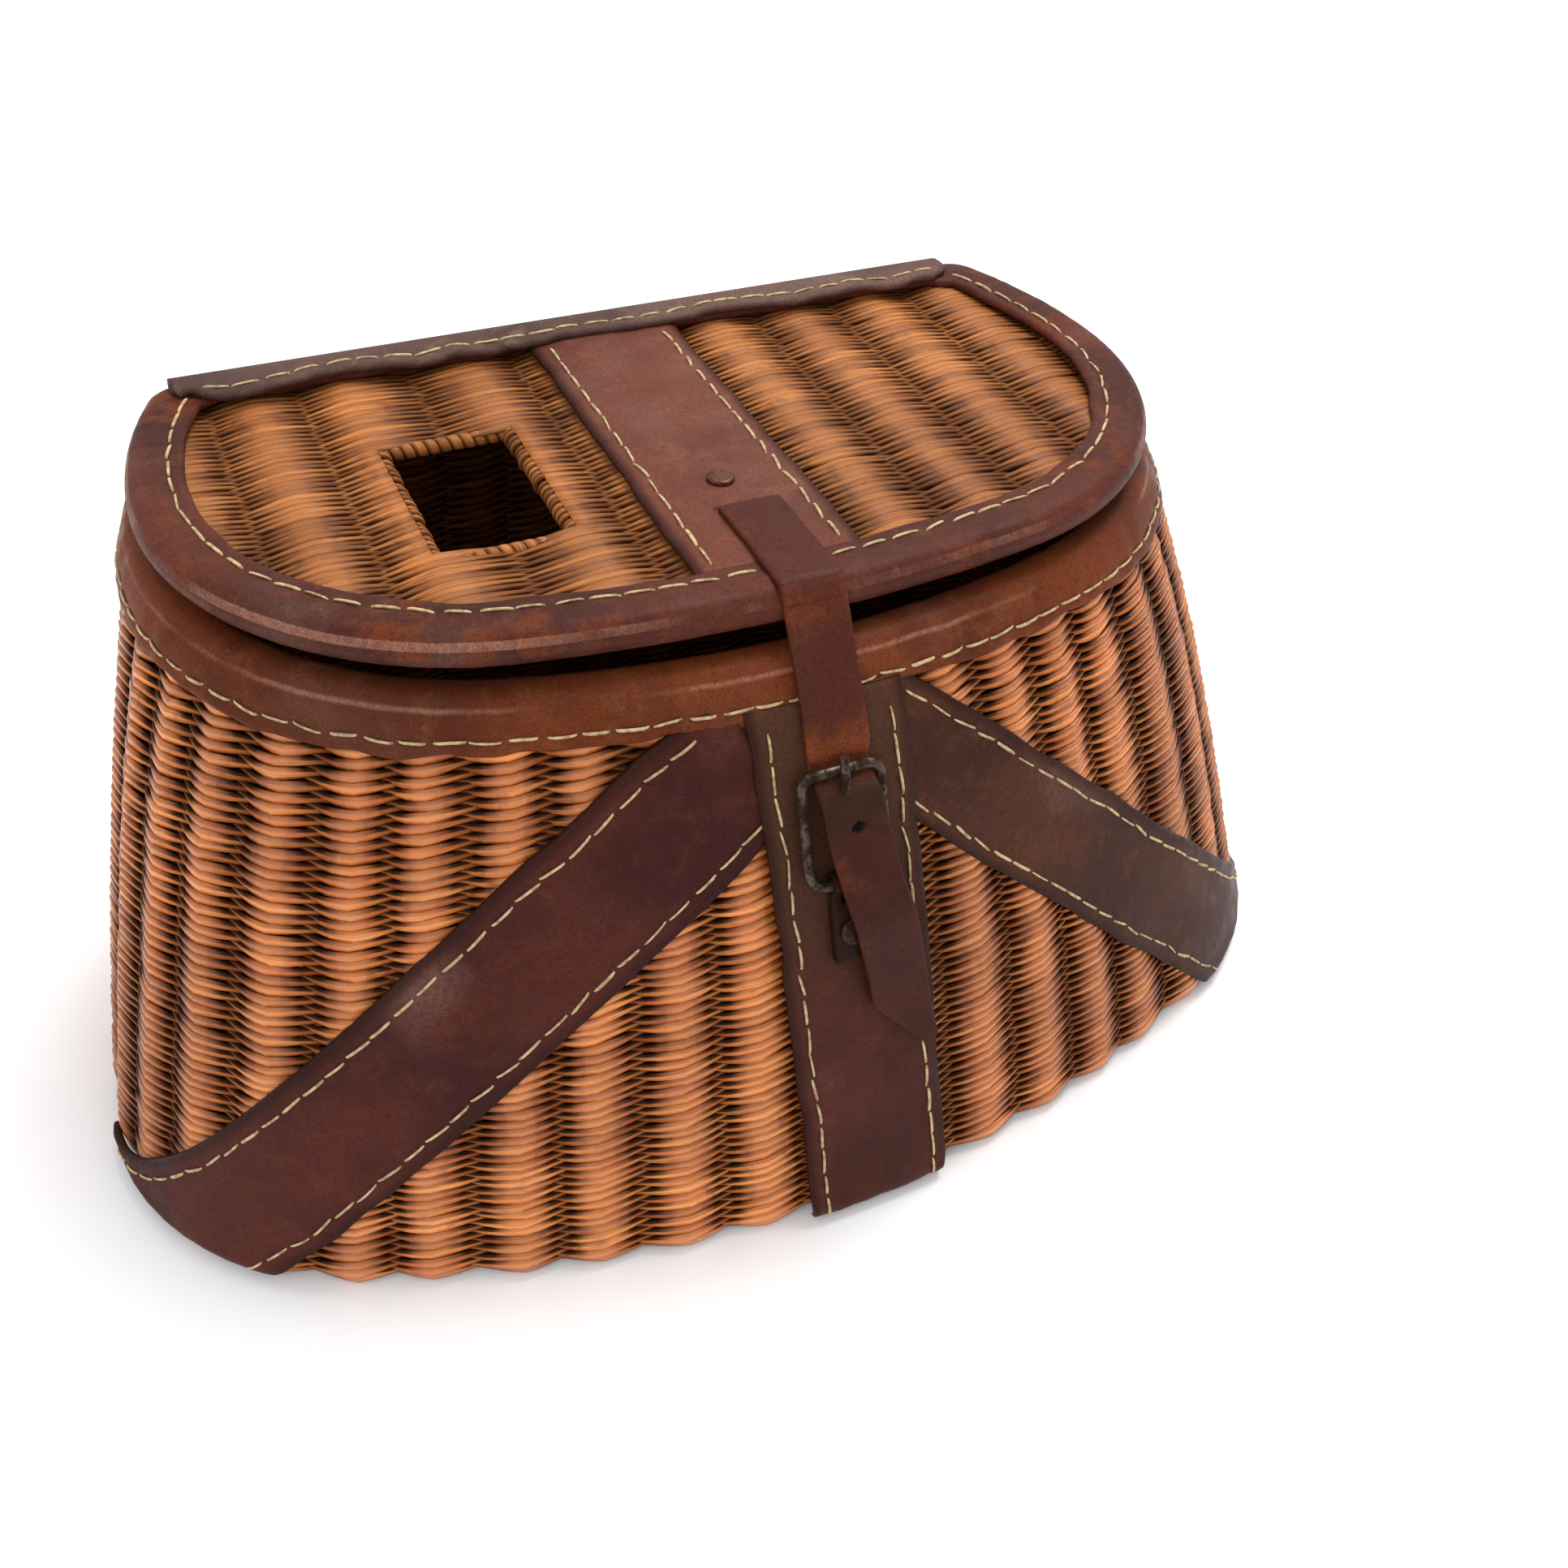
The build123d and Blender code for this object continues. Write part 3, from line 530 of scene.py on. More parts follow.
MAT_STRAP = leather("strap_leather", rgb(82, 40, 30), rgb(62, 30, 23), rgb(104, 58, 39), 0.45, 0.4, buckle_shade_and_rust=True,
                    ridge_highlight=True, sheen_share=0.05)
MAT_HINGE = leather("hinge_leather", rgb(108, 82, 73), rgb(78, 58, 52), rgb(138, 112, 100), 0.5, 0.0, 0.6)
MAT_TAB = leather("tab_leather", rgb(80, 38, 28), rgb(60, 29, 21), rgb(102, 56, 38), 0.45, edged=True)
# The chape's leather is given a very dark colour as painted shade beside the strap's tail.
MAT_CHAPE_SHADE = leather("chape_painted_shade", rgb(50, 26, 20), rgb(38, 20, 15), rgb(66, 36, 26), 0.4, edged=True)
MAT_WIRE = metal("buckle_wire", rgb(86, 72, 60), rgb(46, 31, 22), "object")
MAT_BRASS = metal("rivet_brass", rgb(98, 60, 44), rgb(70, 40, 31), "object")
# A darker metal for all the basket's rivets, so the one under the strap's tail reads as painted shade.
MAT_RIVET_SHADE = metal("rivet_painted_shade", rgb(66, 42, 31), rgb(46, 28, 21), "object")
MAT_THREAD = thread("stitch_thread", rgb(200, 177, 132), rgb(142, 115, 78))


# ---- woven wall ----------------------------------------------------------------------
STAKES = 42
ROW_PITCH = 2.55
STAKE_RADIUS = 1.45
SPLINT = 0.85               # half thickness of a weaver, outward
RIDGE_WIDTH, TWIST_WIDTH = 0.74, 0.37       # half width of a weaver over a stake and midway, in rows
TWIST_RISE = 0.33           # how far two weavers part up and down midway, in rows
CENTRE_OFF = -WALL / 2


def stake_drift(t):
    """Small sideways shift of the stakes, the same for every row."""
    return STAKE_SHIFT_T * np.interp((t + 0.5) % 1.0, np.linspace(0, 1, STAKES + 1), STAKE_SHIFTS)


STAKE_SHIFTS = rng.normal(0, 1, STAKES + 1)
STAKE_SHIFTS[-1] = STAKE_SHIFTS[0]
STAKE_SHIFT_T = 0.0016


def weave_wall():
    """Rows of paired weavers that twist round each other between the stakes."""
    samples = STAKES * 7
    t = np.linspace(-0.5, 0.5, samples, endpoint=False)
    rows = int(145.5 / ROW_PITCH)
    groups = 4
    pieces = []
    wander = smooth_noise(samples, 24, 0.35, closed=True)
    for group in range(groups):
        strands = Strands()
        for row in range(group, rows, 1):
            if row * groups // rows != group:
                continue
            level = 1.5 + ROW_PITCH * row
            wander = 0.85 * wander + smooth_noise(samples, 34, 0.17, closed=True)
            lean = smooth_noise(samples, 18, 0.5, closed=True) * 0.0012
            for turn in (0, 1):
                phase = np.pi * (t + 0.5) * STAKES + np.pi * turn
                over = np.cos(phase)
                off = CENTRE_OFF + (STAKE_RADIUS + SPLINT * 0.9) * crest(over)
                off = off + smooth_noise(samples, 120, 0.12, closed=True)
                z = level + wander + TWIST_RISE * ROW_PITCH * np.sin(phase)
                z = np.clip(z, 1.3, None)
                centre, out = wall.at(t + lean + stake_drift(t), z, off)
                up = np.zeros_like(out)
                up[:, 2] = 1.0
                girth = rng.normal(1.0, 0.06) + smooth_noise(samples, 90, 0.08, closed=True)
                wide = (TWIST_WIDTH + (RIDGE_WIDTH * girth - TWIST_WIDTH) * np.abs(over) ** 1.7) * ROW_PITCH
                thick = SPLINT * (0.82 + 0.18 * np.abs(over))
                strands.add(centre, out, up, wide, thick, over, closed=True)
        pieces.append(strands.write(f"wall_weave_{group}", MAT_WALL))
    return pieces


def wall_stakes():
    strands = Strands(8)
    z = np.linspace(2.2, RIM_HEIGHT - 0.5, 24)
    for stake in range(STAKES):
        t = stake / STAKES - 0.5
        centre, out = wall.at(np.full(24, t + stake_drift(t)), z, CENTRE_OFF)
        side = np.cross(out, (0, 0, 1.0))
        # Relief -0.8 gives the stakes the wicker shader's full hollow darkening: dirt and painted shade behind the
        # weavers.
        strands.add(centre, out, side, 1.7, STAKE_RADIUS - 0.1, -0.8)
    return strands.write("wall_stakes", MAT_ROD)


# ---- woven plates: lid and bottom ----------------------------------------------------
def half_chord(outline, y, back):
    """Half width of a D outline at y, for many y."""
    points = outline[0]
    right = points[points[:, 0] > 0.01]
    lower = right[: int(np.argmax(right[:, 0])) + 1]
    upper = right[int(np.argmax(right[:, 0])):]
    front = np.interp(y, lower[:, 1], lower[:, 0])
    rear = np.interp(y, upper[:, 1], upper[:, 0])
    return np.where(y < upper[0, 1], front, rear)


def inner_line(outline, inset):
    """A D outline moved inward, for half_chord."""
    return (outline[0] - outline[1] * inset,)


def plate_row(strands, y, start, end, ribs, middle_z, lift, splint, pitch, ends, flip):
    """One row of two weavers across a plate; at an end in ends they turn round the last rib."""
    count = max(8, int((end - start) / 2.7))
    x = np.linspace(start, end, count)
    order = np.interp(x, ribs, np.arange(len(ribs)))
    order = order + np.clip(x - ribs[-1], 0, None) / 25 - np.clip(ribs[0] - x, 0, None) / 25
    sway = smooth_noise(count, max(3, count // 8), 0.22)
    paths = []
    for turn in (0, 1):
        phase = np.pi * (order + turn + flip)
        over = np.cos(phase)
        z = middle_z + (lift + splint * 0.85) * crest(over) + smooth_noise(count, max(3, count // 5), 0.08)
        row_y = y + sway + pitch * TWIST_RISE * np.sin(phase)
        paths.append((np.column_stack((x, row_y, z)), over))
    out = np.array([0.0, 0.0, 1.0])
    for path, over in paths:
        side = np.tile((0.0, 1.0, 0.0), (len(path), 1))
        girth = rng.normal(1.0, 0.08)
        wide = pitch * (TWIST_WIDTH + (RIDGE_WIDTH * girth - TWIST_WIDTH) * np.abs(over) ** 2.0)
        strands.add(path, np.tile(out, (len(path), 1)), side, wide, splint, over)
    for end_x, sign in ends:
        angle = np.linspace(math.pi / 2, -math.pi / 2, 9)
        reach = lift + splint * 0.85 + rng.normal(0, 0.2)
        loop = np.column_stack((end_x + sign * reach * np.cos(angle), np.full(9, y + sway[0]),
                                middle_z + reach * np.sin(angle)))
        outward = np.column_stack((sign * np.cos(angle), np.zeros(9), np.sin(angle)))
        side = np.tile((0.0, 1.0, 0.0), (9, 1))
        strands.add(loop, outward, side, pitch * rng.uniform(0.34, 0.48), splint, np.full(9, 0.7))


LID_RIBS = np.array([-146.0, -121.5, -97.5, -73.6, -38.4, -15.0, 9.5, 34.5, 59.0, 84.0, 108.5, 133.0])
HOLE_X0, HOLE_X1 = -71.5, -40.5
HOLE_Y0, HOLE_Y1 = 0.5, 50.5


def weave_lid():
    outline = d_outline(*LID, LID_BACK_Y, 1441)
    pitch = 2.35
    middle = (PANEL_LOW + PANEL_TOP) / 2
    lift, splint = 1.3, 0.72
    inset = 9.0
    inner = inner_line(outline, inset)
    front, back = LID_BACK_Y - LID[1] + inset + 0.5, LID_BACK_Y - inset
    rows = int((back - front) / pitch)
    pieces = []
    for group in range(2):
        strands = Strands()
        for row in range(rows):
            if row * 2 // rows != group:
                continue
            y = front + pitch * (row + 0.5)
            half = float(half_chord(inner, np.array(y), LID_BACK_Y))
            args = (LID_RIBS, middle, lift, splint, pitch)
            if HOLE_Y0 - 0.8 < y < HOLE_Y1 + 0.8:
                plate_row(strands, y, -half, HOLE_X0 - 2.0, *args, [(HOLE_X0 - 1.9, 1)], 0)
                plate_row(strands, y, HOLE_X1 + 2.0, half, *args, [(HOLE_X1 + 1.9, -1)], 0)
            else:
                plate_row(strands, y, -half, half, *args, [], 0)
        obj = strands.write(f"lid_weave_{group}", MAT_LID)
        pieces.append(obj)
    ribs = Strands(8)
    for x in LID_RIBS[1:]:
        y0 = front
        span = np.linspace(front, back, 40)
        inside = np.abs(x) < half_chord(outline, span, LID_BACK_Y) - 6
        if inside.sum() < 3:
            continue
        y = span[inside]
        path = np.column_stack((np.full(len(y), x), y, np.full(len(y), middle)))
        out = np.tile((0.0, 0.0, 1.0), (len(y), 1))
        side = np.tile((1.0, 0.0, 0.0), (len(y), 1))
        ribs.add(path, out, side, 1.7, lift, 0.0)
    pieces.append(ribs.write("lid_ribs", MAT_ROD))
    return pieces


def tip(objects):
    """Moves flat-built lid pieces to the lid's closed stand."""
    for obj in objects:
        count = len(obj.data.vertices)
        points = np.empty(count * 3)
        obj.data.vertices.foreach_get("co", points)
        points = close_lid(points.reshape(-1, 3) / MM) * MM
        obj.data.vertices.foreach_set("co", points.ravel())
        obj.data.attributes["rest"].data.foreach_set("vector", points.astype(np.float32).ravel())
        obj.data.update()
    return objects


def hole_bars():
    """Sticks at the hole's front and back edge, closely wrapped with a weaver."""
    strands = Strands(8)
    middle = (PANEL_LOW + PANEL_TOP) / 2
    for y in (HOLE_Y0 - 1.9, HOLE_Y1 + 1.9):
        x = np.linspace(HOLE_X0 - 3.5, HOLE_X1 + 3.5, 12)
        core = np.column_stack((x, np.full(12, y), np.full(12, middle)))
        strands.add(core, np.tile((0.0, 0.0, 1.0), (12, 1)), np.tile((0.0, 1.0, 0.0), (12, 1)), 1.0, 1.0, 0.0)
        wraps = 11
        steps = wraps * 14
        turn = np.linspace(0, wraps * 2 * math.pi, steps)
        x = np.linspace(HOLE_X0 - 1.5, HOLE_X1 + 1.5, steps)
        out = np.column_stack((np.zeros(steps), np.cos(turn), np.sin(turn)))
        path = np.column_stack((x, np.full(steps, y), np.full(steps, middle))) + out * 1.5
        side = np.tile((1.0, 0.0, 0.0), (steps, 1))
        strands.add(path, out, side, 1.45, 0.5, np.full(steps, 0.85))
    return strands.write("fish_hole_wraps", MAT_LID)


def weave_bottom():
    outline = d_outline(*BASE, BACK_Y, 1441)
    pitch = 3.4
    strands = Strands(6)
    ribs = np.arange(-175, 176, 25.0)
    inset = 6.6
    inner = inner_line(outline, inset)
    front, back = BACK_Y - BASE[1] + inset + 0.5, BACK_Y - inset
    rows = int((back - front) / pitch)
    for row in range(rows):
        y = front + pitch * (row + 0.5)
        half = float(half_chord(inner, np.array(y), BACK_Y))
        plate_row(strands, y, -half, half, ribs, 3.1, 1.3, 0.9, pitch, [], 0)
    border, outward = [table[:-1:10] for table in outline[:2]]
    count = len(border)
    path = np.column_stack((border - outward * 6.6, np.full(count, 3.1)))
    side = np.column_stack((outward, np.zeros(count)))
    strands.add(path, np.tile((0.0, 0.0, 1.0), (count, 1)), side, 2.2, 1.7, 0.3, closed=True)
    return strands.write("bottom_weave", MAT_WALL)


# ---- leather -------------------------------------------------------------------------
def stitches(name, path, out, pitch=8.0, body=None, length=7.1):
    """Separate stitches along a line; each dives into the leather at both ends."""
    run = np.concatenate(([0], np.cumsum(np.linalg.norm(np.diff(path, axis=0), axis=1))))
    count = max(1, int(run[-1] // pitch))
    step = run[-1] / count
    points, faces, size = [], [], 0
    shape = np.array([(-0.5, -0.5), (-0.46, 0.05), (-0.3, 0.36), (0.0, 0.45), (0.3, 0.36), (0.46, 0.05), (0.5, -0.5)])
    for index in range(count):
        middle = (index + 0.5) * step + rng.normal(0, 0.25)
        reach = length * rng.normal(1.0, 0.07)
        places = np.clip(middle + shape[:, 0] * reach, 0, run[-1])
        centre = np.column_stack([np.interp(places, run, path[:, i]) for i in range(3)])
        normal = np.column_stack([np.interp(places, run, out[:, i]) for i in range(3)])
        normal /= np.linalg.norm(normal, axis=1)[:, None]
        along = centre[-1] - centre[0]
        along /= np.linalg.norm(along)
        side = np.cross(normal, along)
        skew = rng.normal(0.0, 0.3)
        centre = centre + normal * (shape[:, 1] * 0.75)[:, None] + side * (shape[:, 0] * skew * 2)[:, None]
        fat = 0.4 * rng.normal(1.0, 0.12) * np.array([0.5, 0.8, 1.0, 1.0, 1.0, 0.8, 0.5])
        angles = np.arange(6) * math.pi / 3
        ring = (normal[:, None] * (np.cos(angles)[None, :, None] * fat[:, None, None] * 0.8)
                + side[:, None] * (np.sin(angles)[None, :, None] * fat[:, None, None]))
        points.append((centre[:, None] + ring).reshape(-1, 3))
        faces += grid_faces(7, 6, start=size).tolist() + ring_caps(7, 6, size)
        size += 42
    obj = new_mesh(name, np.vstack(points), faces, MAT_THREAD)
    if body:
        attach(obj, body)
    return obj


def rim_binding():
    """Leather folded over the rim, rounded on top, its lower edge waving over the weave."""
    count = 840
    t = np.linspace(-0.5, 0.5, count, endpoint=False)
    low = RIM_BINDING_LOW
    profile = [(low + 0.1, 0.35), (low - 0.1, 1.1), (low + 0.15, 1.9), (low + 1.0, 2.35), (low + 2.2, 2.3),
               (low + 3.1, 2.05), (low + 4.1, 2.35), (low + 5.5, 2.6), (low + 7.5, 2.6), (low + 9.2, 2.4),
               (RIM_TOP - 1.1, 1.6), (RIM_TOP - 0.4, 0.4), (RIM_TOP, -1.2), (RIM_TOP, -3.8),
               (RIM_TOP - 0.5, -5.6), (RIM_TOP - 1.8, -7.0), (low + 7, -7.4), (low + 3, -7.3), (low + 0.2, -7.2),
               (low - 0.1, -6.3), (low + 0.2, -5.4), (RIM_HEIGHT - 1, -5.3), (RIM_HEIGHT + 0.2, -3.5),
               (RIM_HEIGHT + 0.2, -1.5), (RIM_HEIGHT - 1, 0.3)]
    wave = 0.35 * np.cos(2 * np.pi * (t + 0.5) * STAKES) + smooth_noise(count, 70, 0.35, closed=True)
    dent = smooth_noise(count, 160, 0.16, closed=True)
    rings = np.empty((count, len(profile), 3))
    for index, (z, off) in enumerate(profile):
        share = float(np.clip((low + 4 - z) / 4, 0, 1)) if off > -4 else 0.0
        swell = dent * (0.3 if off < 0 else 1.0)
        ridge = 0.22 * np.cos(2 * np.pi * (t + 0.5) * STAKES) * share
        rings[:, index], _ = wall.at(t, z + wave * share, off + swell + ridge)
    # Marks the ring near the outer top edge for the leather shader's painted highlight line.
    ridge = [1.0 if z == low + 9.2 else 0.0 for z, off in profile]
    obj = swept("rim_binding_leather", rings, MAT_RIM, closed=True,
                attributes=[("ridge", "FLOAT", np.tile(ridge, count))])
    line, out = wall.at(t, low + 3.1 + wave * 0.3, 2.05 + dent + 0.1)
    keep = np.abs(t) < 0.375
    return obj, (line[keep], out[keep])


def lid_outline_at(inset, count):
    points, normals, _ = d_outline(*LID, LID_BACK_Y, count + 1)
    points, normals = points[:-1], normals[:-1]
    return points - normals * inset, normals


def lid_binding():
    """Leather folded round the lid's edge, with a rolled lip and puckers where it turns."""
    count = 840
    points, normals = lid_outline_at(0.0, count)
    lip = [(LIP - LIP * math.cos(math.radians(a)), LIP_Z + LIP * math.sin(math.radians(a)))
           for a in range(80, -81, -10)]
    top = [(14.6, PANEL_TOP + 0.2), (15.1, PANEL_TOP + 1.1), (14.8, LID_TOP - 0.35), (13.6, LID_TOP - 0.05),
           (12.2, LID_TOP - 0.12), (11.1, LID_TOP - 0.32), (10.0, LID_TOP - 0.1), (7.5, LID_TOP + 0.05)]
    under = [(7.5, LID_LOW), (12.5, LID_LOW + 0.1), (14.6, LID_LOW + 0.5), (14.8, LID_LOW + 1.4), (14.2, PANEL_LOW - 0.2),
             (7.0, PANEL_LOW - 0.1), (3.4, PANEL_LOW + 0.6), (3.0, LIP_Z), (3.4, PANEL_TOP - 0.6), (7.0, PANEL_TOP + 0.1)]
    profile = top + lip + under
    wave = smooth_noise(count, 64, 0.4, closed=True)
    pucker = smooth_noise(count, 300, 0.1, closed=True)
    swell = smooth_noise(count, 40, 0.12, closed=True)
    rings = np.empty((count, len(profile), 3))
    tuck = 3.4 * np.clip((110 - np.abs(points[:, 0])) / 6, 0, 1) * (points[:, 1] > LID_BACK_Y - 1)
    for index, (inset, z) in enumerate(profile):
        edge = np.clip((inset - 9) / 6, 0, 1)
        shift = inset + (wave - tuck) * edge
        flat = points - normals * np.atleast_1d(shift)[:, None]
        side = 1 if z > LIP_Z else -1
        rise = side * (pucker * (1 - abs(inset - 7) / 9) + swell * 0.6) * (0.6 if side < 0 else 1.0)
        rings[:, index] = np.column_stack((flat, z + rise))
    # Marks the lip's upper roll for the leather shader's painted highlight line.
    ridge = [1.0 if inset < 1.3 and 1.2 < z - LIP_Z < 3.5 else 0.0 for inset, z in profile]
    obj = swept("lid_binding_leather", rings, MAT_EDGE, closed=True,
                attributes=[("ridge", "FLOAT", np.tile(ridge, count))])
    line = points - normals * (11.1 + wave * 0.3)[:, None]
    line = np.column_stack((line, np.full(count, LID_TOP - 0.25)))
    return obj, line


def strip_between(name, lower, upper, thickness, material, base=0.25, rows=9, **more):
    """A strip on the wall between two edges given as (t, z) lines of equal count."""
    across = np.concatenate(([0.0, 0.0, 0.012, 0.05], np.linspace(0.1, 0.9, rows), [0.95, 0.988, 1.0, 1.0]))
    rise = np.concatenate(([0.15, 0.6, 0.92, 1.0], np.ones(rows), [1.0, 0.92, 0.6, 0.15]))
    count = len(lower)
    rings = np.empty((count, len(across) + rows, 3))
    dent = np.array([smooth_noise(count, max(4, count // 6), 0.12) for _ in across])
    for index, (share, height) in enumerate(zip(across, rise)):
        t = lower[:, 0] * (1 - share) + upper[:, 0] * share
        z = lower[:, 1] * (1 - share) + upper[:, 1] * share
        groove = 0.35 * math.exp(-((min(share, 1 - share) * more.get("width", 38) - 4.3) / 1.1) ** 2)
        off = base + thickness * height + dent[index] * (height > 0.9) - groove
        rings[:, index], _ = wall.at(t, np.clip(z, 0.6, None), off)
    for index, share in enumerate(np.linspace(0.97, 0.03, rows)):
        t = lower[:, 0] * (1 - share) + upper[:, 0] * share
        z = lower[:, 1] * (1 - share) + upper[:, 1] * share
        rings[:, len(across) + index], _ = wall.at(t, np.clip(z, 0.6, None), base)
    shares = np.concatenate((across, np.linspace(0.97, 0.03, rows)))
    edge = np.minimum(shares, 1 - shares) * more.get("width", 38)
    return swept(name, rings, material, attributes=[("edge", "FLOAT", np.tile(edge, count))])


def edge_line(points, count):
    """Walks an arc through three (x, z) points on the front and returns (t, z) at equal steps."""
    (x0, z0), (x1, z1), (x2, z2) = points
    d = 2 * (x0 * (z1 - z2) + x1 * (z2 - z0) + x2 * (z0 - z1))
    s0, s1, s2 = x0**2 + z0**2, x1**2 + z1**2, x2**2 + z2**2
    cx = (s0 * (z1 - z2) + s1 * (z2 - z0) + s2 * (z0 - z1)) / d
    cz = (s0 * (x2 - x1) + s1 * (x0 - x2) + s2 * (x1 - x0)) / d
    radius = math.hypot(x0 - cx, z0 - cz)
    first = math.atan2(z0 - cz, x0 - cx)
    last = math.atan2(z2 - cz, x2 - cx)
    turn = (last - first + math.pi) % (2 * math.pi) - math.pi
    angle = first + np.linspace(0, 1, 300) * turn
    x, z = cx + radius * np.cos(angle), cz + radius * np.sin(angle)
    t = np.array([wall.t_of_x(a, max(b, 0.0)) for a, b in zip(x, z)])
    spot, _ = wall.at(t, np.clip(z, 0, None), 0.0)
    run = np.concatenate(([0], np.cumsum(np.linalg.norm(np.diff(spot, axis=0), axis=1))))
    steps = np.linspace(0, run[-1], count)
    return np.column_stack((np.interp(steps, run, t), np.interp(steps, run, z)))


DIAGONALS = {
    "left": (-1, ((24, 149), (107, 86), (177, 4)), ((8, 119), (80, 62), (152, -3))),
    "right": (1, ((16, 149), (83, 93), (174, 3)), ((8, 121), (67, 66), (140, -4))),
}


def between(lower, upper, share):
    return lower * (1 - share) + upper * share


def surface_line(line, off):
    return wall.at(line[:, 0], np.clip(line[:, 1], 0.8, None), off)


def diagonal(side_name):
    side, upper, lower = DIAGONALS[side_name]
    upper = edge_line([(side * x, z) for x, z in upper], 120)
    lower = edge_line([(side * x, z) for x, z in lower], 120)
    wave = smooth_noise(120, 20, 0.35)
    upper[:, 1] += wave
    lower[:, 1] += smooth_noise(120, 20, 0.35)
    material = MAT_DIAGONAL if side_name == "left" else MAT_DIAGONAL_WORN
    obj = strip_between(f"diagonal_leather_{side_name}", lower, upper, 2.0, material, width=34)
    lines = []
    for share in (4.3 / 34, 1 - 4.3 / 34):
        line = between(lower, upper, share)
        line = line[line[:, 1] < RIM_BINDING_LOW - 0.5]
        line = line[line[:, 1] > 1.5]
        lines.append(surface_line(line, 2.1))
    return obj, lines


STRAP = 16.0
SLOT_Y = -9.0
STRAP_X = 1.8               # the strap lies this far right of the lid's middle
FRONT_TOP_X, FRONT_LOW_X, FRONT_HALF = 1.2, 7.0, 20.0


def front_band():
    count = 90
    z = np.linspace(RIM_BINDING_LOW + 2.5, 1.2, count)
    share = (z - 1) / (RIM_BINDING_LOW - 1)
    middle = FRONT_LOW_X + (FRONT_TOP_X - FRONT_LOW_X) * share
    edges = []
    for sign in (-1, 1):
        x = middle + sign * (FRONT_HALF + smooth_noise(count, 18, 0.3))
        edges.append(np.column_stack(([wall.t_of_x(a, b) for a, b in zip(x, z)], z)))
    obj = strip_between("front_band_leather", edges[0], edges[1], 2.1, MAT_BAND, base=1.6, width=40)
    lines = []
    for part in (4.2 / 40, 1 - 4.2 / 40):
        line = between(edges[0], edges[1], part)
        line = line[line[:, 1] < RIM_BINDING_LOW - 0.8]
        lines.append(surface_line(line, 3.6))
    return obj, lines


def ribbon(name, path, out, half_width, thickness, material, crown=0.15, columns=9, attributes=()):
    """A flat strap along a path: out is its upper side, half_width may change along it."""
    along = np.gradient(path, axis=0)
    along /= np.linalg.norm(along, axis=1)[:, None]
    side = np.cross(along, out)
    side /= np.linalg.norm(side, axis=1)[:, None]
    w = np.concatenate(([-1, -1, -0.96], np.linspace(-0.88, 0.88, columns), [0.96, 1, 1]))
    h = np.concatenate(([-0.3, 0.2, 0.48], 0.5 + crown * (1 - np.linspace(-0.88, 0.88, columns) ** 2), [0.48, 0.2, -0.3]))
    under = np.linspace(0.94, -0.94, columns)
    w = np.concatenate((w, under))
    h = np.concatenate((h, np.full(columns, -0.5)))
    half = np.broadcast_to(half_width, len(path))
    rings = (path[:, None] + side[:, None] * (w[None, :, None] * half[:, None, None])
             + out[:, None] * (h[None, :, None] * thickness))
    edge = (1 - np.abs(w))[None, :] * half[:, None]
    return swept(name, rings, material, attributes=[("edge", "FLOAT", edge), *attributes])


def lid_band():
    """The band over the middle of the lid, with the slit that the strap comes out of."""
    y = np.linspace(LID_BACK_Y - 9, LID_BACK_Y - LID[1] + 12.5, 90)
    y = np.sort(np.concatenate((y, SLOT_Y + np.linspace(-1.5, 1.5, 11))))[::-1]
    count = len(y)
    z = PANEL_TOP + 1.35 + np.interp(-y, np.linspace(-y[0], -y[-1], 90), smooth_noise(90, 24, 0.1))
    z = z - 0.9 * np.clip((LID_BACK_Y - LID[1] + 17 - y) / 4, 0, 1)
    path = np.column_stack((np.zeros(count), y, z))
    out = np.tile((0.0, 0.0, 1.0), (count, 1))
    half = 21.0 + np.interp(-y, np.linspace(-y[0], -y[-1], 90), smooth_noise(90, 20, 0.3))
    obj = ribbon("lid_band_leather", path, out, half, 2.1, MAT_LID_BAND, columns=43)
    points = np.empty(len(obj.data.vertices) * 3)
    obj.data.vertices.foreach_get("co", points)
    points = points.reshape(-1, 3)
    x, along, height = points.T / MM
    slit = (np.abs(x - STRAP_X) < STRAP / 2 + 0.5) & (np.abs(along - SLOT_Y - 0.6) < 0.8) & (height > PANEL_TOP + 1)
    points[slit, 2] -= 1.6 * MM
    obj.data.vertices.foreach_set("co", points.ravel())
    # The slit's dent gets edge 0, so the band shader paints it with its dark edge colour as painted shade in the
    # slot.
    edge = np.empty(len(points))
    layer = obj.data.attributes["edge"].data
    layer.foreach_get("value", edge)
    edge[slit] = 0.0
    layer.foreach_set("value", edge)
    lines = []
    for sign in (-1, 1):
        line = path + np.array([sign * 16.5, 0, 1.15])
        keep = (y < LID_BACK_Y - 15) & (y > LID_BACK_Y - LID[1] + 16)
        lines.append((line[keep], out[keep]))
    return obj, lines


# ---- strap ---------------------------------------------------------------------------
STRAP_COLUMNS = 21
HEEL_OFF = 6.2
TIP_Z, TAIL_SWING = 49.5, 16.2


def front_y(z):
    return BACK_Y - Wall.sizes(z)[1]


HEEL_WALL_Z, BAR_WALL_Z = 99.6, 127.0
BUCKLE_LOW = np.array((BUCKLE_X, front_y(HEEL_WALL_Z), HEEL_WALL_Z))
BUCKLE_RISE = np.array((0.0, front_y(BAR_WALL_Z) - front_y(HEEL_WALL_Z), BAR_WALL_Z - HEEL_WALL_Z))
BAR_RUN = float(np.linalg.norm(BUCKLE_RISE))
BUCKLE_UP = BUCKLE_RISE / BAR_RUN
BUCKLE_OUT = np.cross((1.0, 0.0, 0.0), BUCKLE_UP)


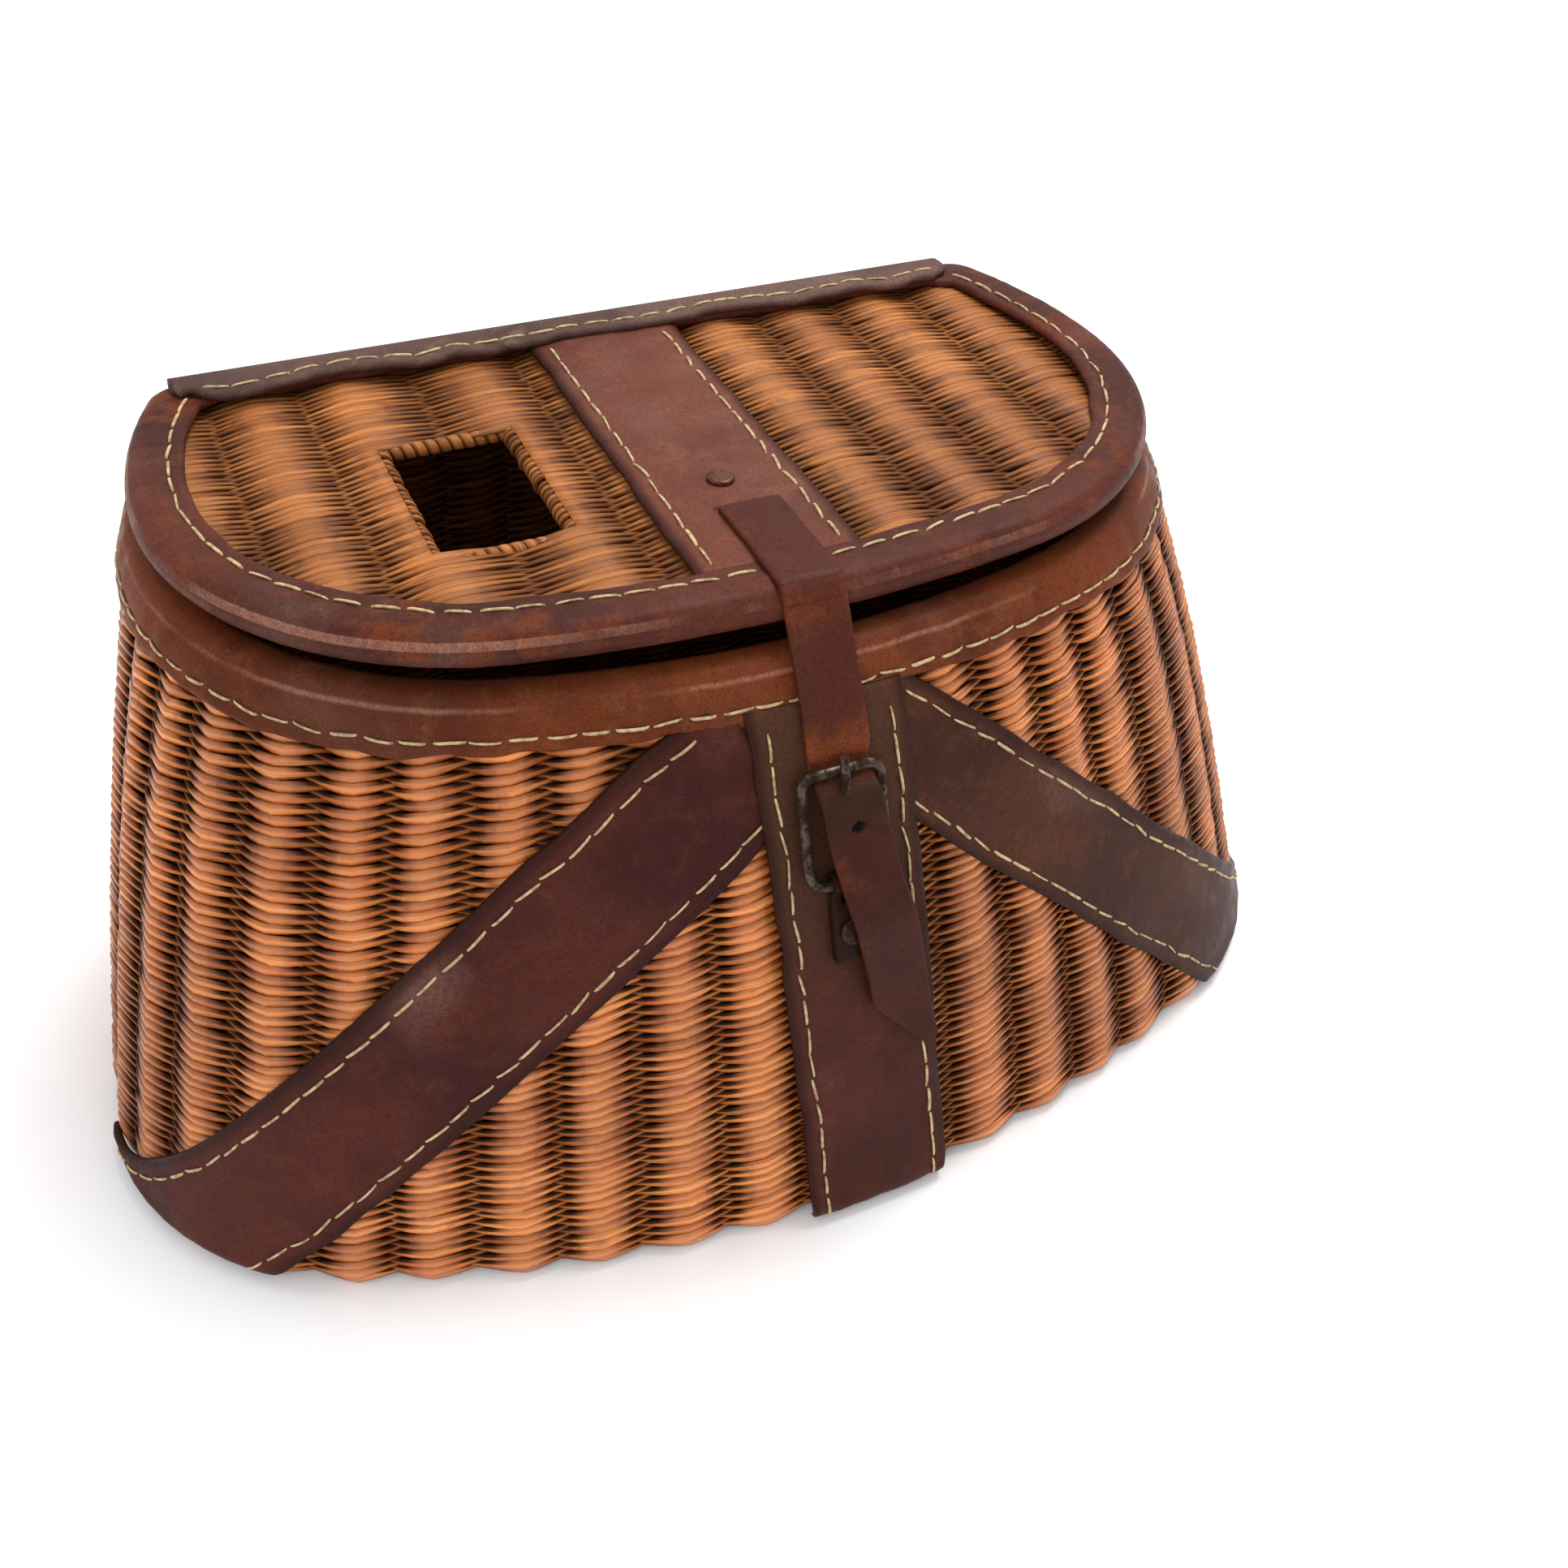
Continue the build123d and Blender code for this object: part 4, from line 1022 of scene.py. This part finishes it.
def on_buckle(x, along, off):
    return BUCKLE_LOW + np.array((x, 0.0, 0.0)) + BUCKLE_UP * along + BUCKLE_OUT * off


def smooth_path(points, count):
    """A smooth line through points, at equal steps (Catmull-Rom)."""
    points = np.asarray(points, float)
    padded = np.vstack((2 * points[0] - points[1], points, 2 * points[-1] - points[-2]))
    pieces = []
    for index in range(1, len(padded) - 2):
        a, b, c, d = padded[index - 1:index + 3]
        u = np.linspace(0, 1, 24, endpoint=False)[:, None]
        pieces.append(0.5 * (2 * b + (c - a) * u + (2 * a - 5 * b + 4 * c - d) * u**2
                             + (3 * b - a - 3 * c + d) * u**3))
    line = np.vstack(pieces + [points[-1:]])
    run = np.concatenate(([0], np.cumsum(np.linalg.norm(np.diff(line, axis=0), axis=1))))
    steps = np.linspace(0, run[-1], count)
    return np.column_stack([np.interp(steps, run, line[:, i]) for i in range(3)])


def strap():
    """One strap: from under the lid band, out of its slot, over the lip and through the buckle."""
    thin = 1.6
    count = 440
    under = PANEL_TOP - thin / 2
    over = LID_TOP + 0.1 + thin / 2
    bend = LIP + 0.3 + thin / 2
    flat = [(0, 12.5, under), (0, 2, under), (0, SLOT_Y + 2.2, under + 0.3), (0, SLOT_Y - 0.7, over - 0.7),
            (0, SLOT_Y - 3.5, over), (0, -16, over), (0, -26, over + 0.1), (0, LIP_Y + 1, over)]
    for angle in (104, 122, 140, 158, 176):
        turn = math.radians(angle)
        flat.append((0, LIP_Y + bend * math.cos(turn), LIP_Z + bend * math.sin(turn)))
    points = close_lid(np.array(flat, float))
    points[:, 0] = STRAP_X
    clear = HEEL_OFF + 1.4 + 0.3 + 1.5 + 0.3 + thin / 2 + 0.2
    behind = (SKIN + HEEL_OFF - 1.4) / 2
    lower = [on_buckle(0.8, BAR_RUN + 9, behind + 0.8), on_buckle(0.8, BAR_RUN + 1, behind),
             on_buckle(0.8, BAR_RUN - 3.5, behind + 3.4), on_buckle(1.0, BAR_RUN - 7, clear - 1.0),
             on_buckle(1.6, BAR_RUN * 0.5, clear - 0.2), on_buckle(3.4, 4, clear - 0.1),
             on_buckle(4.8, -3, clear), on_buckle(7.2, -12, clear - 0.6)]
    start = lower[-1]
    for share, swing, off in ((0.3, 0.36, 8.2), (0.6, 0.66, 6.0), (0.84, 0.87, 4.9), (1.0, 1.0, 4.6)):
        z = start[2] + (TIP_Z - start[2]) * share
        x = start[0] + (TAIL_SWING - start[0]) * swing
        lower.append(np.array((x, front_y(z) - off, z)))
    path = smooth_path(np.vstack((points, lower)), count)
    along = np.gradient(path, axis=0)
    along /= np.linalg.norm(along, axis=1)[:, None]
    out = np.cross((1.0, 0.0, 0.0), along)
    out = -out / np.linalg.norm(out, axis=1)[:, None]
    run = np.concatenate(([0], np.cumsum(np.linalg.norm(np.diff(path, axis=0), axis=1))))
    left = run[-1] - run
    half = np.full(count, STRAP / 2) + smooth_noise(count, 30, 0.12)
    point = np.clip(left / 19, 0, 1) ** 0.9
    narrow = np.where(left < 19, 1.8 + (half - 1.8) * point, half)
    path[:, 0] += half - narrow
    pierced = on_buckle(1.6, BAR_RUN * 0.55, clear)
    station = int(np.argmin(np.linalg.norm(path - pierced, axis=1)))
    # Painted shade: the strap is darkened round the prong's hole, under the buckle.
    buckle_shade = np.exp(-((run - run[station] + 5) / 5.5) ** 4)
    lip_bend, bar = [run[int(np.argmin(np.linalg.norm(path - spot, axis=1)))]
                     for spot in (points[9], on_buckle(0.8, BAR_RUN + 1, behind))]
    rusty = 0.5 * np.exp(-((run - lip_bend - 6.0) / 4.5) ** 4) + 0.7 * np.exp(-((run - bar + 5.0) / 5.5) ** 4)
    # Painted highlight along the bend over the lid's lip, written to the ridge attribute.
    lip_highlight = np.exp(-((run - lip_bend) / 0.9) ** 2)
    ring_points = 2 * STRAP_COLUMNS + 6
    obj = ribbon("strap_leather_band", path, out, narrow, thin, MAT_STRAP, crown=0.12, columns=STRAP_COLUMNS,
                 attributes=[("buckle_shade", "FLOAT", np.repeat(buckle_shade, ring_points)),
                             ("rusty", "FLOAT", np.repeat(rusty, ring_points)),
                             ("ridge", "FLOAT", np.repeat(lip_highlight, ring_points))])
    place = np.empty(len(obj.data.vertices) * 3)
    obj.data.vertices.foreach_get("co", place)
    place = place.reshape(-1, 3)
    near = np.linalg.norm(place / MM - (path[station] + out[station] * thin / 2), axis=1) < 1.5
    place[near] -= out[station] * 1.3 * MM
    obj.data.vertices.foreach_set("co", place.ravel())
    # The pressed-in hole gets 3, which the shader paints near-black as the hole's shade.
    values = np.repeat(buckle_shade, ring_points)
    values[near] = 3.0
    obj.data.attributes["buckle_shade"].data.foreach_set("value", values)
    return obj


# ---- leather loops -------------------------------------------------------------------
def leather_loop(name, place, up, width, length, thick, wire, material, prong=0.0):
    """Doubled leather folded round a bar; up points along the leather towards the bar."""
    sideways = np.array((1.0, 0.0, 0.0))
    up = np.asarray(up, float)
    outward = np.cross(sideways, up)
    radius = wire / 2 + GAP + thick / 2
    height = radius + thick / 2
    turns = np.radians(np.arange(-90, 91, 15))
    bend = [(radius * math.cos(turn), height + radius * math.sin(turn)) for turn in turns]
    flats = [(-0.25 * length, 1.6 * thick), (-0.5 * length, 1.5 * thick), (-length + 0.2, 1.5 * thick)]
    line = [(-length + 0.2, thick / 2), (-0.5 * length, thick / 2), *bend, (-0.12 * length, 1.9 * thick), *flats]
    pieces = []
    ears = [(0.0, width / 2)] if not prong else [(side * (width + prong) / 4, (width - prong) / 4)
                                                 for side in (-1, 1)]
    for index, (shift, half) in enumerate(ears):
        flat = smooth_path([(shift, along, off) for along, off in line], 90)
        path = place + sideways * flat[:, :1] + up * flat[:, 1:2] + outward * flat[:, 2:]
        direction = np.gradient(path, axis=0)
        out = np.cross(direction, sideways)
        out /= np.linalg.norm(out, axis=1)[:, None]
        pieces.append(ribbon(f"{name}_{index}", path, out, half - 0.1, thick - 0.15, material, crown=0.06))
    if prong:
        run = np.linspace(-length, -0.26 * length, 30)[:, None]
        path = place + up * run + outward * thick
        pieces.append(ribbon(f"{name}_sewn", path, np.tile(outward, (30, 1)), width / 2, 2 * thick, material, crown=0.03))
    return pieces


# ---- hinge strip ---------------------------------------------------------------------
# How far the strip's front edge draws back from its mean line, along the lid.
DRAWN_BACK = [(-104, -1.5), (-90, -1.5), (-78, 2.4), (-63, 2.6), (-50, -0.6), (-40, 1.8), (-21, -0.3), (-9, 2.8),
              (5, 0.4), (16, -0.6), (28, 2.8), (43, 2.5), (60, 0.3), (75, 2.4), (90, 0.2), (104, 1.6)]


def hinge_strip():
    """Leather along the back: from the lid's top over its edge and down the wall."""
    thin = 1.8
    over = LID_TOP + 1.2
    back = LID_BACK_Y + 1.7
    count = 200
    x = np.linspace(-104, 104, count)
    middle = [(LID_BACK_Y - 15, over + 0.3), (LID_BACK_Y - 12, over + 0.4), (LID_BACK_Y - 9, over + 0.5),
              (LID_BACK_Y - 5.8, over + 0.4), (LID_BACK_Y - 3.2, over + 0.1), (LID_BACK_Y - 1.4, over - 0.6),
              (back - 0.9, over - 1.9), (back, over - 3.4), (back + 0.2, LID_LOW + 4), (back + 0.2, LID_LOW + 1.5),
              (back + 0.3, LID_LOW), (back + 0.2, RIM_TOP), (back + 0.2, RIM_TOP - 5), (back, RIM_TOP - 11),
              (back, RIM_TOP - 16), (back, RIM_TOP - 21), (back, RIM_TOP - 26)]
    middle = np.array(middle)
    along = np.gradient(middle, axis=0)
    along /= np.linalg.norm(along, axis=1)[:, None]
    normal = np.column_stack((-along[:, 1], along[:, 0]))
    outer = middle + normal * thin / 2
    inner = (middle - normal * thin / 2)[::-1]
    profile = np.vstack((outer, inner))
    drawn = np.interp(np.linspace(-110, 110, count + 12), *np.transpose(DRAWN_BACK))
    edge_wave = smooth_noise(count, 42, 0.5) + np.convolve(drawn, np.full(13, 1 / 13), "valid")
    ragged = np.clip((-x - 95) / 9, 0, 1) * (8.0 + rng.uniform(-1.2, 1.2, count))
    ragged = ragged + np.clip((x - 99) / 5, 0, 1) * 4.0
    outward = np.where(x < 0, -12.0, 7.0) * np.abs(x / 104) ** 3
    low_wave = smooth_noise(count, 36, 0.6)
    swell = smooth_noise(count, 44, 0.28)
    rings = np.empty((count, len(profile), 3))
    for index, (y, z) in enumerate(profile):
        front = np.clip((LID_BACK_Y - 6 - y) / 9, 0, 1)
        low = np.clip((RIM_TOP - 8 - z) / 18, 0, 1)
        side = 1 if index < len(middle) else 0
        y_line = y + front * (edge_wave + ragged) + 0.4 * (low > 0) * swell
        z_line = z + low * low_wave + front * swell * (0.7 + 0.3 * side)
        on_lid = np.clip((z - RIM_TOP) / 5, 0, 1)
        rings[:, index] = np.column_stack((x + outward * on_lid, y_line, z_line))
    obj = swept("hinge_strip_leather", rings, MAT_HINGE)
    keep = (x > -99) & (x < 101)
    top_line = np.column_stack((x + outward, LID_BACK_Y - 11.2 + 0.9 * edge_wave + 0.6 * ragged,
                                over + 0.35 + thin / 2 + 0.4 * swell))
    low_line = np.column_stack((x, np.full(count, back + thin / 2), RIM_TOP - 22.0 + low_wave))
    return obj, top_line[keep], low_line[keep]


# ---- put together --------------------------------------------------------------------
def wear(obj, body, material_slot, *nodes):
    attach(obj, body)
    if nodes:
        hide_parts(*nodes)
    return obj


def dress(node, material):
    """Gives a frame node its finish and leaves it as it is."""
    obj = frame["nodes"][node]
    obj.data.materials.clear()
    obj.data.materials.append(material)


for piece in weave_wall():
    wear(piece, "basket", "basket_wicker", "basket_wall")
wear(wall_stakes(), "basket", "willow_rod", "basket_wall")
wear(weave_bottom(), "basket", "basket_wicker", "basket_bottom")
for piece in tip(weave_lid()):
    wear(piece, "lid", "lid_wicker", "lid_panel")
wear(tip([hole_bars()])[0], "lid", "lid_wicker", "fish_hole_bars")

obj, (line, out) = rim_binding()
wear(obj, "basket", "rim_leather", "rim_binding")
stitches("rim_stitches", line, out, body="basket")

obj, line = lid_binding()
wear(tip([obj])[0], "lid", "lid_edge_leather", "lid_binding")
line = close_lid(line)
line = line[int(0.165 * len(line)):int(0.835 * len(line))]
for index, piece in enumerate((line[line[:, 0] < STRAP_X - 9], line[line[:, 0] > STRAP_X + 9])):
    stitches(f"lid_binding_stitches_{index}", piece, np.tile((0.0, 0.0, 1.0), (len(piece), 1)), body="lid")

for side_name in DIAGONALS:
    obj, lines = diagonal(side_name)
    wear(obj, "basket", "band_leather", f"diagonal_band_{side_name}")
    for index, (line, out) in enumerate(lines):
        stitches(f"diagonal_stitches_{side_name}_{index}", line, out, body="basket")

obj, lines = front_band()
wear(obj, "basket", "band_leather", "front_band")
for index, (line, out) in enumerate(lines):
    stitches(f"front_band_stitches_{index}", line, out, body="basket")

obj, lines = lid_band()
wear(tip([obj])[0], "lid", "band_leather", "lid_band")
for index, (line, out) in enumerate(lines):
    stitches(f"lid_band_stitches_{index}", close_lid(line), out, body="lid")

obj = strap()
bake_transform(obj)
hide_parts("strap_anchor", "strap")

obj, top_line, low_line = hinge_strip()
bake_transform(obj)
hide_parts("hinge_strip")
stitches("hinge_stitches_lid", top_line, np.tile((0.0, 0.0, 1.0), (len(top_line), 1)), body="lid")
stitches("hinge_stitches_wall", low_line, np.tile((0.0, 1.0, 0.0), (len(low_line), 1)), body="basket")

dress("rim_rod", MAT_ROD)
dress("lid_frame_rod", MAT_ROD)
dress("buckle_frame", MAT_WIRE)
dress("buckle_prong", MAT_WIRE)
dress("harness_ring_left", MAT_WIRE)
dress("harness_ring_right", MAT_WIRE)
for node in ("strap_rivet", "strap_rivet_washer"):
    dress(node, MAT_BRASS)
for node in ("basket_rivets", "basket_rivet_washers"):
    dress(node, MAT_RIVET_SHADE)
chape_base = BUCKLE_LOW + BUCKLE_OUT * (SKIN + 0.5)
for piece in leather_loop("chape_painted_shade", chape_base, BUCKLE_UP, 10.0, 22.0, 1.5, 2.8, MAT_CHAPE_SHADE, prong=4.6):
    wear(piece, "basket", "strap_leather", "buckle_chape")
for side_name, side in (("left", -1), ("right", 1)):
    spot = np.array((side * 82.0, BACK_Y + GAP, 92.0))
    for piece in leather_loop(f"tab_leather_{side_name}", spot, (0, 0, -1), 21.0, 30.0, LEATHER, 3.0, MAT_TAB):
        wear(piece, "basket", "strap_leather", f"harness_tab_{side_name}")
    corners = [(x, z) for x, z in ((-7.6, 99.0), (-7.6, 119.3), (7.6, 119.3), (7.6, 99.0))]
    row = smooth_path([(spot[0] + x, BACK_Y + GAP + 2 * LEATHER - 0.1, z) for x, z in corners], 80)
    stitches(f"tab_stitches_{side_name}", row, np.tile((0.0, 1.0, 0.0), (80, 1)), pitch=5.0, body="basket",
             length=4.2)


# ---- floor, light and camera ---------------------------------------------------------
def floor():
    bpy.ops.mesh.primitive_plane_add(size=12, location=(0, 0, -0.0008))
    plane = bpy.context.object
    plane.name = "studio_floor"
    n = Nodes("studio_floor")
    cloud = n.noise(n.add("ShaderNodeTexCoord").outputs["Object"], 3.0, 2.0)
    tone = n.mix(n.remap(cloud, 0.3, 0.7), (0.94, 0.943, 0.955, 1), (0.955, 0.958, 0.967, 1))
    plane.data.materials.append(n.finish(tone, 0.9, Specular_IOR_Level=0.1))


def area_light(name, place, target, size, power, colour):
    data = bpy.data.lights.new(name, "AREA")
    data.shape = "DISK"
    data.size = size
    data.energy = power
    data.color = colour
    lamp = bpy.data.objects.new(name, data)
    lamp.location = place
    lamp.rotation_euler = (Vector(target) - Vector(place)).to_track_quat("-Z", "Y").to_euler()
    bpy.context.scene.collection.objects.link(lamp)


floor()
area_light("key", (0.6, 0.42, 1.6), (0, 0, 0.08), 0.9, 22.5, (1.0, 0.985, 0.96))
area_light("fill", (-1.3, -0.9, 1.1), (0, 0, 0.05), 1.4, 7, (1.0, 0.99, 0.97))

world = bpy.data.worlds.new("studio")
world.use_nodes = True
background = world.node_tree.nodes["Background"]
background.inputs["Color"].default_value = (0.98, 0.985, 1.0, 1.0)
background.inputs["Strength"].default_value = 0.85
bpy.context.scene.world = world

camera_data = bpy.data.cameras.new("camera")
camera_data.sensor_width = 36.0
camera_data.lens = 38.55
camera = bpy.data.objects.new("camera", camera_data)
bpy.context.scene.collection.objects.link(camera)
right = Vector((0.90885, -0.41450, 0.04658))
up = Vector((0.24469, 0.62025, 0.74526))
back_way = right.cross(up)
camera.matrix_world = Matrix((
    (right.x, up.x, back_way.x, -0.1436),
    (right.y, up.y, back_way.y, -0.3241),
    (right.z, up.z, back_way.z, 0.3863),
    (0, 0, 0, 1)))
bpy.context.scene.camera = camera
bpy.context.scene.view_settings.view_transform = "Standard"
